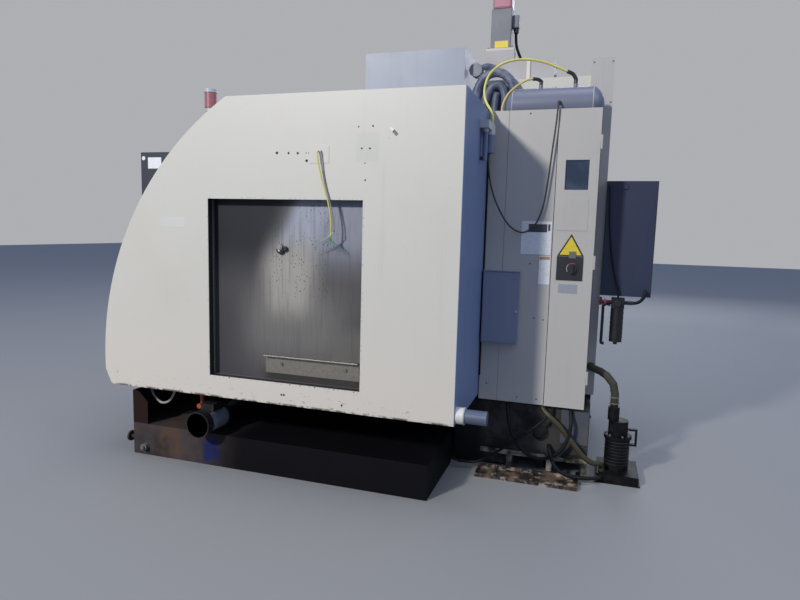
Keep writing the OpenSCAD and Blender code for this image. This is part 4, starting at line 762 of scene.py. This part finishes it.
coolant = [[1200, -1392, 475], [1200, -1392, 445], [1200, -1370, 365], [1200, -1310, 318],
    [1200, -1245, 335], [1200, -1203, 400], [1200, -1195, 450], [1200, -1195, 475]]
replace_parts(tube("corner_cable", corner, 0.0055, hose_black)[0], "held_hoses")
for name, route, radius in (("rear_air_line", rear, 0.006), ("base_loop_hose", loop, 0.011),
                            ("base_side_hose", side, 0.012), ("base_cross_hose", cross, 0.008)):
    tube(name, route, radius, hose_black)
tube("olive_pump_hose", bend, 0.017, olive, sides=20)
tube("white_coolant_hose", coolant, 0.008, white_hose)

# Enclosure: screws, plates and catches on faces that come from the frame

cable_plate = 0.002
panel_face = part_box("side_panel_right")[1].x - cable_plate
wall_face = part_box("rear_walls")[1].y
catch_x = panel_face + 0.0008

face_screws("panel_screw_holes", dark_line, panel_face - 0.0001, 0.0006, [
    (-0.34, 1.895, 0.0075), (-0.269, 1.893, 0.006), (-0.213, 1.892, 0.0065), (-0.159, 1.851, 0.0075),
    (-0.163, 1.892, 0.003), (-0.147, 1.892, 0.003), (0.141, 2.023, 0.004), (0.221, 2.025, 0.005),
    (0.16, 1.912, 0.005), (0.206, 1.911, 0.005), (0.18, 1.836, 0.0035), (0.183, 1.748, 0.0045),
    (-0.309, 0.532, 0.006), (-0.293, 0.532, 0.0065), (0.068, 0.513, 0.006)], segments=16)
# A bright strip along the angle plate's top edge: a painted highlight.
face_plates("angle_plate_lip_highlight", plain_metal("lip_edge_highlight_steel", (0.5, 0.46, 0.4), 0.4), 1.367, 1.3692, [
    ((-0.4462, 0.742), (0.1442, 0.7476))], bevel=0.0005)
face_screws("angle_plate_bolts", iron, 1.346, 0.0012, [(y, 0.698, 0.008) for y in (-0.342, 0.062)],
            segments=24)
tilted_plate("panel_catch_bright", white_plate, (catch_x, 0.327, 2.004), (0.0016, 0.026, 0.01), -45)
tilted_plate("panel_catch_dark", iron, (catch_x, 0.344, 1.988), (0.0016, 0.03, 0.016), -45)
face_plates("faded_side_plate", paint("faded_plate", (0.7, 0.7, 0.66), 0.4), panel_face - 0.0002,
            panel_face + 0.0006, [((-1.124, 1.472), (-0.948, 1.53))])
rods("rear_wall_cable_gland", black_plastic, [
    ("Y", (0.98, wall_face - 0.0005, 1.905), 0.012, 0.012),
    ("Y", (0.98, wall_face + 0.011, 1.905), 0.01, 0.008)])

# The recess: a bright bead down its front edge, and the ring and stud of its cover's knob, with a dark lobe
# as the knob's painted shadow and a white stud as its painted highlight

face_plates("recess_edge_bead", plain_metal("bright_bead", (0.55, 0.5, 0.44), 0.4), 1.35, 1.355, [
    ((-0.7895, 0.606), (-0.788, 1.636))], bevel=0.0006)
# The small second lobe stands for the knob's shadow on the steel: a painted shadow.
rods("cover_knob_ring_and_shadow", black_plastic, [
    ("X", (1.3405, -0.348, 1.361), 0.014, 0.026, 0.021), ("X", (1.3405, -0.318, 1.368), 0.012, 0.016, 0.013)],
    bevel=0.002)
# The white stud is the bright metal inside the peg, whitened as a painted highlight.
face_screws("cover_knob_stud", white_plate, 1.3545, 0.004, [(-0.351, 1.357, 0.0055)], bevel=0.0006,
            segments=16)

# Electrical cabinet: plain plates, two with fields of colour; the side cover's seam and screws

cover_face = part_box("cabinet_side_cover")[1].x
colour_field = (cover_face + 0.0009, cover_face + 0.0016)
screw_radius = 0.0045
hatch_rise = 0.002
hatch_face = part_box("cabinet_door")[1].x
door_face = hatch_face - hatch_rise

face_plates("cabinet_bare_plates", white_plate, cover_face - 0.0002, cover_face + 0.0012, [
    ((0.931, 1.366), (1.107, 1.563)), ((1.043, 1.189), (1.109, 1.358))])
face_plates("plate_dark_fields", dull("plate_dark", (0.06, 0.06, 0.075), 0.5), *colour_field, [
    ((0.972, 1.499), (1.081, 1.547)), ((1.086, 1.508), (1.099, 1.547))])
face_plates("plate_orange_field", dull("plate_orange", (0.48, 0.3, 0.16), 0.5), *colour_field, [
    ((1.046, 1.337), (1.106, 1.355))])
face_plates("door_bare_plate", grey_plate, door_face - 0.0002, door_face + 0.0012, [
    ((1.163, 1.144), (1.272, 1.197))], "cabinet_door")
face_plates("cabinet_cover_seam", soft_line, cover_face - 0.0001, cover_face + 0.0003, [
    ((0.826, 1.2585), (0.8285, 2.2095)), ((0.8265, 0.448), (0.8285, 0.8195))], bevel=0.0)
face_screws("cabinet_cover_screws", dark_line, cover_face - 0.0001, 0.0012, [
    (y, z, screw_radius) for y, z in [(1.031, 0.982), (1.085, 0.974), (0.95, 0.48), (1.07, 0.48),
                                      (0.76, 0.55), (0.95, 2.19), (1.09, 1.2), (0.99, 1.31)]])

# Cabinet door: hatch screws, the window's frame, the gasket between the hinges, a yellow triangle

window_lap = 0.008
frame_bar = 0.0045
low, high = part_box("cabinet_window")
y0, z0, y1, z1 = low.y + window_lap, low.z + window_lap, high.y - window_lap, high.z - window_lap
gasket_runs = [(0.449, 0.598), (0.682, 1.288), (1.372, 1.978), (2.062, 2.209)]

face_screws("cabinet_door_screws", pale, hatch_face - 0.0001, 0.0016, [
    (y, z, screw_radius) for y, z in [(1.135, 1.523), (1.297, 1.523), (1.135, 1.69), (1.297, 1.69),
                                      (1.216, 1.69)]], "cabinet_door", 0.0004)
face_plates("cabinet_window_frame", rear_blue, door_face - 0.0035, door_face + 0.0008, [
    ((y0, z0), (y0 + frame_bar, z1)), ((y1 - frame_bar, z0), (y1, z1)),
    ((y0 + frame_bar, z0), (y1 - frame_bar, z0 + frame_bar)),
    ((y0 + frame_bar, z1 - frame_bar), (y1 - frame_bar, z1))], "cabinet_door", 0.0006)
face_plates("cabinet_door_gasket", dull("door_gasket", (0.035, 0.028, 0.022), 0.7), door_face - 0.0095,
            door_face - 0.0005, [((1.3515, a), (1.3535, b)) for a, b in gasket_runs], "cabinet_door", 0.0005)


def triangle_plate():
    """A yellow triangle with a dark rim, and no sign on it."""
    bm = bmesh.new()
    for depth, shrink, index in ((door_face + 0.0001, 0.0, 0), (door_face + 0.0008, 1.0, 1)):
        corners = [(depth, 1.146 + 0.0145 * shrink, 1.3635 + 0.0075 * shrink),
                   (depth, 1.299 - 0.0145 * shrink, 1.3635 + 0.0075 * shrink),
                   (depth, 1.2225, 1.494 - 0.0165 * shrink)]
        made = bmesh.ops.create_circle(bm, cap_ends=True, segments=3, radius=1.0)
        for vert, corner in zip(made["verts"], corners):
            vert.co = corner
        face = made["verts"][0].link_faces[0]
        face.material_index = index
        wall = bmesh.ops.extrude_face_region(bm, geom=[face])
        raised = [v for v in wall["geom"] if isinstance(v, bmesh.types.BMVert)]
        bmesh.ops.translate(bm, vec=(0.0006, 0, 0), verts=raised)
    piece = place_piece(bm, "yellow_triangle_plate", dark_line, "cabinet_door")
    piece.data.materials.append(warning_yellow.material)


triangle_plate()

# Main switch: two plain arcs around its knob and a tab; the switch box's trim and lock

low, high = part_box("main_switch_knob")
knob_centre = (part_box("main_switch_plate")[1].x + 0.0002, (low.y + high.y) / 2, (low.z + high.z) / 2)
mark_radius = 0.0315
box_low, box_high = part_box("switch_box")

arc_strip("switch_mark_red", dull("switch_red", (0.42, 0.06, 0.09), 0.4), "cabinet_door", knob_centre,
          mark_radius, 0.0045, 60, 130)
arc_strip("switch_mark_pale", dull("switch_pale", (0.45, 0.45, 0.46), 0.4), "cabinet_door", knob_centre,
          mark_radius, 0.004, 132, 215)
face_plates("switch_tab", iron, door_face + 0.0012, door_face + 0.0058, [((1.214, 1.352), (1.254, 1.392))],
            "cabinet_door", 0.0006)
blocks("switch_box_trim", box_grey, [
    ((cover_face - 0.0002, box_low.y + 0.0005, box_high.z - 0.0005),
     (box_high.x, box_high.y, box_high.z + 0.006))], bevel=0.0008)
face_screws("switch_box_lock", pale, box_high.x - 0.0012, 0.004, [(0.927, 1.02, 0.007)], bevel=0.0008,
            segments=32)

# Air tank and rear fittings: weld beads, nuts, hose elbows, plugs and bands

tank_x = 0.6
tank_z = 2.25

for name, y in (("tank_weld_front", 0.835), ("tank_weld_rear", 1.297)):
    ring_bead(name, pale, (tank_x, y, tank_z), "Y", 0.1045, 0.0022)
hex_nuts("tank_side_nut", iron, [
    ("X", (0.703, 1.108, tank_z), 0.01, 0.014), ("X", (0.713, 1.108, tank_z), 0.008, 0.0105)])
tube("long_hose_elbow", [[600, 1190, 2352], *hose_long_route[:3], [614, 1139, 2444]], 0.0115,
     black_plastic, 6)
tube("short_hose_elbow", [[600, 990, 2352], *hose_short_route[:3], [621, 942, 2408]], 0.0105,
     black_plastic, 6)
hex_nuts("tank_port_plugs", brass, [
    ("Z", (tank_x, 1.075, 2.353), 0.008, 0.01), ("Z", (tank_x, 0.91, 2.353), 0.006, 0.008)])
hex_nuts("cabinet_roof_gland", brass, [("Z", (0.69, 0.775, 2.1298), 0.012, 0.014)])
hex_nuts("rear_wall_inlet_nut", brass, [("Z", (0.8, 0.742, 2.112), 0.014, 0.0125)])
rods("rear_bowl_bands", pale, [
    ("Z", (0.88, 0.742, 2.045), 0.022, 0.0295), ("Z", (0.975, 0.735, 2.05), 0.018, 0.0155)], bevel=0.001)
ring_bead("drain_collar_band", pale, (1.35, 0.752, 0.52), "Y", 0.0452, 0.003)
ring_bead("drain_pipe_bead", slate_shade, (1.35, 0.868, 0.52), "Y", 0.0365, 0.002)

# Column top: ribbed conduits with their glands, a drum, a side box and the bracket's rib

roof_z = 2.2
cabinet_z = 2.13

tube("conduit_outer", [
    [445, 560, 2201], [445, 560, 2300], [445, 575, 2400], [445, 615, 2470], [445, 680, 2500],
    [445, 745, 2486], [445, 795, 2430], [445, 815, 2350], [445, 818, 2250], [445, 818, 2131]], 0.028,
    conduit_blue, 5, 20)
tube("conduit_inner", [
    [440, 622, 2201], [440, 622, 2290], [440, 640, 2370], [440, 680, 2420], [440, 725, 2420],
    [440, 752, 2370], [440, 757, 2290], [440, 757, 2131]], 0.027, conduit_blue, 5, 20)
tube("conduit_small", [[430, 690, 2201], [430, 690, 2280], [432, 694, 2330], [436, 702, 2380]], 0.024,
     conduit_blue, sides=20)
rods("conduit_glands", iron, [
    ("Z", place, 0.022, 0.033) for place in [
        (0.445, 0.56, roof_z), (0.44, 0.622, roof_z), (0.445, 0.818, cabinet_z), (0.44, 0.757, cabinet_z)]],
    bevel=0.002, segments=12)
rods("conduit_drum", motor_grey, [
    ("X", (0.095, 0.505, 2.595), 0.085, 0.042), ("X", (0.17, 0.505, 2.595), 0.012, 0.046)], bevel=0.003)
tube("drum_conduit", [
    [140, 535, 2610], [145, 575, 2622], [140, 620, 2612], [120, 660, 2590], [100, 680, 2585]], 0.02,
    conduit_blue, sides=16)
blocks("column_side_box", slate_shade, [((0.3795, 0.586, 2.206), (0.402, 0.8, 2.44))], bevel=0.003)
blocks("bracket_rib", cream, [((0.109, 0.842, 2.466), (0.12, 0.866, 2.656))])

# Servo motors: square bodies, flange, red cap, plug and cable

motor_y = 0.65
motor_half = 0.07
flange_half = 0.095
flange_top = 2.7528
flange_bolt = 0.081


def servo_bodies():
    """The upright motor with its feet and coupling, and the one that drives the saddle."""
    bm = bmesh.new()
    foot_z = 2.7525
    foot = 0.015
    add_block(bm, (-motor_half, motor_y - motor_half, foot_z), (motor_half, motor_y + motor_half, 3.021))
    add_block(bm, (-0.055, -0.96, 0.35), (0.055, -0.7605, 0.46))
    add_rod(bm, "Y", (0, -1.02, 0.405), 0.062, 0.048)
    add_rod(bm, "Z", (0, motor_y, 2.64), 0.096, 0.018)
    for x in (-motor_half, motor_half - foot):
        for y in (motor_y - motor_half, motor_y + motor_half - foot):
            add_block(bm, (x, y, foot_z), (x + foot, y + foot, 2.766))
    piece = place_piece(bm, "servo_motor_bodies", motor_shell, bevel=0.006)
    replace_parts(piece, "servo_motors")


servo_bodies()
blocks("servo_flange", pale_cream, [
    ((-flange_half, motor_y - flange_half, 2.7351), (flange_half, motor_y + flange_half, flange_top))],
    bevel=0.0015)
blocks("servo_cap", red_plastic, [
    ((-0.066, 0.584, 3.0205), (0.066, 0.716, 3.15)), ((-0.052, 0.598, 3.1495), (0.052, 0.702, 3.189))],
    bevel=0.016)
hex_nuts("servo_flange_bolts", iron, [
    ("Z", (x, motor_y + y, flange_top), 0.01, 0.008) for x in (-flange_bolt, flange_bolt)
    for y in (-flange_bolt, flange_bolt)])
face_plates("servo_label_plate", warning_yellow, motor_half - 0.0002, motor_half + 0.0008, [
    ((0.61, 2.762), (0.702, 2.806))], bevel=0.0004)
blocks("servo_plug", motor_shell, [((-0.03, 0.7195, 2.9), (0.03, 0.765, 2.985))], bevel=0.006)
rods("servo_plug_nut", black, [("Z", (0, 0.745, 2.87), 0.031, 0.017)], bevel=0.002)
tube("servo_cable", [
    [0, 745, 2871], [0, 745, 2840], [-8, 752, 2780], [-20, 775, 2720], [-25, 800, 2661]], 0.01, hose_black)

# Bolts of the cable duct and the motor bracket, and the rear box's door lines

face_screws("duct_bolts", iron, 0.4185, 0.0025, [
    (y, z, 0.0045) for z in (2.3, 2.54) for y in (1.284, 1.393)], bevel=0.0004, segments=6)
face_screws("column_top_bolts", iron, 0.1245, 0.005, [(y, 2.485, 0.009) for y in (0.6, 0.66, 0.72)],
            bevel=0.001, segments=6)
face_plates("rear_box_door_line", dark_line, 0.4498, 0.4502, [
    ((y, 1.124), (y + 0.0025, 1.816)) for y in (1.4095, 1.693)], bevel=0.0)

# Air filter: valve wheel, gauge, pipes and bowl rings

rods("filter_valve_wheel", red_plastic, [("Y", (0.47, 1.43, 1.08), 0.012, 0.02)], bevel=0.002)
rods("filter_gauge", black, [("X", (0.506, 1.512, 1.078), 0.022, 0.02)], bevel=0.002)
tube("filter_drain_pipe", [
    [470, 1470, 1062], [470, 1455, 1066], [470, 1440, 1064], [470, 1428, 1052], [470, 1428, 1020],
    [470, 1428, 900], [470, 1428, 840], [470, 1428, 826], [470, 1434, 818], [470, 1446, 817]], 0.009,
    black_plastic, 3)
rods("filter_bowl_rings", black, [("Z", (0.47, 1.512, 0.86 + 0.03 * k), 0.006, 0.0395) for k in range(6)])
tube("filter_outlet_hose", [
    [470, 1598, 1080], [472, 1615, 1082], [480, 1640, 1095], [486, 1660, 1125], [480, 1668, 1165]], 0.01,
    hose_black)

# Pump: flange bolts, cooling fins and pipe clamps

pump_x = 0.55
pump_y = 1.562
bolt_circle = 0.073

rods("pump_flange_bolts", iron, [
    ("Z", (pump_x + bolt_circle * math.cos(a), pump_y + bolt_circle * math.sin(a), 0.2675), 0.01, 0.006)
    for a in [math.radians(60 * k + 20) for k in range(6)]], segments=6)
rods("pump_fins", black, [("Z", (pump_x, pump_y, 0.09 + 0.02 * k), 0.005, 0.0745) for k in range(8)],
     bevel=0.001, segments=40)
ring_bead("elbow_pipe_clamp", iron, (pump_x, 1.53, 0.5), "Z", 0.0245, 0.004)
ring_bead("elbow_pipe_collar", iron, (pump_x, 1.53, 0.462), "Z", 0.027, 0.004)

# Operator panel: a plain plate and a boss on its side, and rows of blank keys

pendant_side = 0.9196
keys = []
for row in range(4):
    z = 1.556 + row * 0.026
    for column in range(10):
        x = 0.535 + column * 0.0325
        keys.append(((x, -1.6755, z), (x + 0.022, -1.6715, z + 0.018)))

face_plates("pendant_bare_plate", white_plate, pendant_side, pendant_side + 0.001, [
    ((-1.61, 1.865), (-1.5, 1.94))], "operator_panel")
rods("pendant_side_boss", white_plate, [("X", (pendant_side, -1.645, 1.935), 0.003, 0.014)], "operator_panel")
blocks("pendant_keys", grey_plate, keys, "operator_panel", 0.0008)

# Coolant tank and base: valves, a hub, a side plate, a dark hole, the ring on the auger motor's end

motor_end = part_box("auger_motor")[1].x

rods("tank_valve_handle", dull("valve_orange", (0.42, 0.075, 0.03), 0.45), [
    ("Z", (1.24, -0.962, 0.352), 0.075, 0.01, 0.014), ("X", (1.215, -0.962, 0.352), 0.06, 0.016)])
tube("tank_valve_pipe", [[1240, -962, 425], [1240, -975, 445], [1240, -1000, 460], [1240, -1030, 470]], 0.009,
     white_hose)
rods("tank_drain_valve", iron, [
    ("X", (1.3195, -1.335, 0.056), 0.028, 0.022), ("X", (1.347, -1.335, 0.056), 0.016, 0.012)])
rods("tank_wheel_hub", iron, [("Y", (1.27, -1.4998, 0.09), 0.0006, 0.012)], bevel=0.0)
face_plates("base_side_plate", dull("base_plate_enamel", (0.075, 0.082, 0.1), 0.5), 0.6798, 0.6825, [
    ((1.223, 0.212), (1.387, 0.426))])
face_screws("base_hole_shade", black, 0.645, 0.004, [(1.105, 0.255, 0.0495)], segments=40)
face_screws("auger_motor_ring", iron, motor_end - 0.0004, 0.0004, [(-0.861, 0.288, 0.074)], segments=48)

# Floor and light

lit_point = Vector((0.9, 0.5, 1.3))


def make_floor():
    """A floor that looks mid grey and throws little light back up."""
    made = Finish("studio_floor", (0.07, 0.07, 0.07), 0.75)
    rays = made.node("ShaderNodeLightPath")
    seen = made.math("ADD", made.math("ADD", rays.outputs["Is Camera Ray"], rays.outputs["Is Glossy Ray"]),
                     rays.outputs["Is Transmission Ray"])
    made.tint((0.3, 0.3, 0.3), seen)
    bm = bmesh.new()
    bmesh.ops.create_grid(bm, x_segments=1, y_segments=1, size=30.0)
    mesh_object(bm, "studio_floor", made)


def make_world():
    """A grey backdrop that lights the machine with a cool blue."""
    world = bpy.data.worlds.new("studio")
    world.use_nodes = True
    tree = world.node_tree
    rays = tree.nodes.new("ShaderNodeLightPath")
    seen = tree.nodes.new("ShaderNodeMath")
    seen.operation = "ADD"
    seen.use_clamp = True
    tree.links.new(rays.outputs["Is Camera Ray"], seen.inputs[0])
    tree.links.new(rays.outputs["Is Transmission Ray"], seen.inputs[1])
    tone = tree.nodes.new("ShaderNodeMix")
    tone.data_type = "RGBA"
    tone.inputs["A"].default_value = (0.24, 0.305, 0.47, 1.0)
    tone.inputs["B"].default_value = (0.42, 0.43, 0.45, 1.0)
    tree.links.new(seen.outputs[0], tone.inputs["Factor"])
    tree.links.new(tone.outputs["Result"], tree.nodes["Background"].inputs["Color"])
    scene.world = world


def make_lamp_light(name, direction, distance, size, power, color):
    """A round lamp that shines on the lit point from a direction."""
    data = bpy.data.lights.new(name, "AREA")
    data.shape = "DISK"
    data.size = size
    data.energy = power
    data.color = color
    lamp = bpy.data.objects.new(name, data)
    away = Vector(direction).normalized()
    turn = away.to_track_quat("Z", "Y").to_matrix().to_4x4()
    lamp.matrix_world = Matrix.Translation(lit_point + away * distance) @ turn
    scene.collection.objects.link(lamp)


make_floor()
make_world()
make_lamp_light("key", (0.68, -0.342, 0.38), 14.0, 1.2, 1330, (1.0, 0.975, 0.92))
make_lamp_light("top", (0.1, 0.1, 1.0), 9.0, 5.0, 130, (1.0, 1.0, 1.0))
make_lamp_light("left", (-1.0, 0.1, 0.5), 12.0, 6.0, 330, (0.95, 0.97, 1.0))
make_lamp_light("back", (0.15, 1.0, 0.7), 12.0, 6.0, 210, (0.78, 0.88, 1.0))
scene.view_settings.view_transform = "Standard"
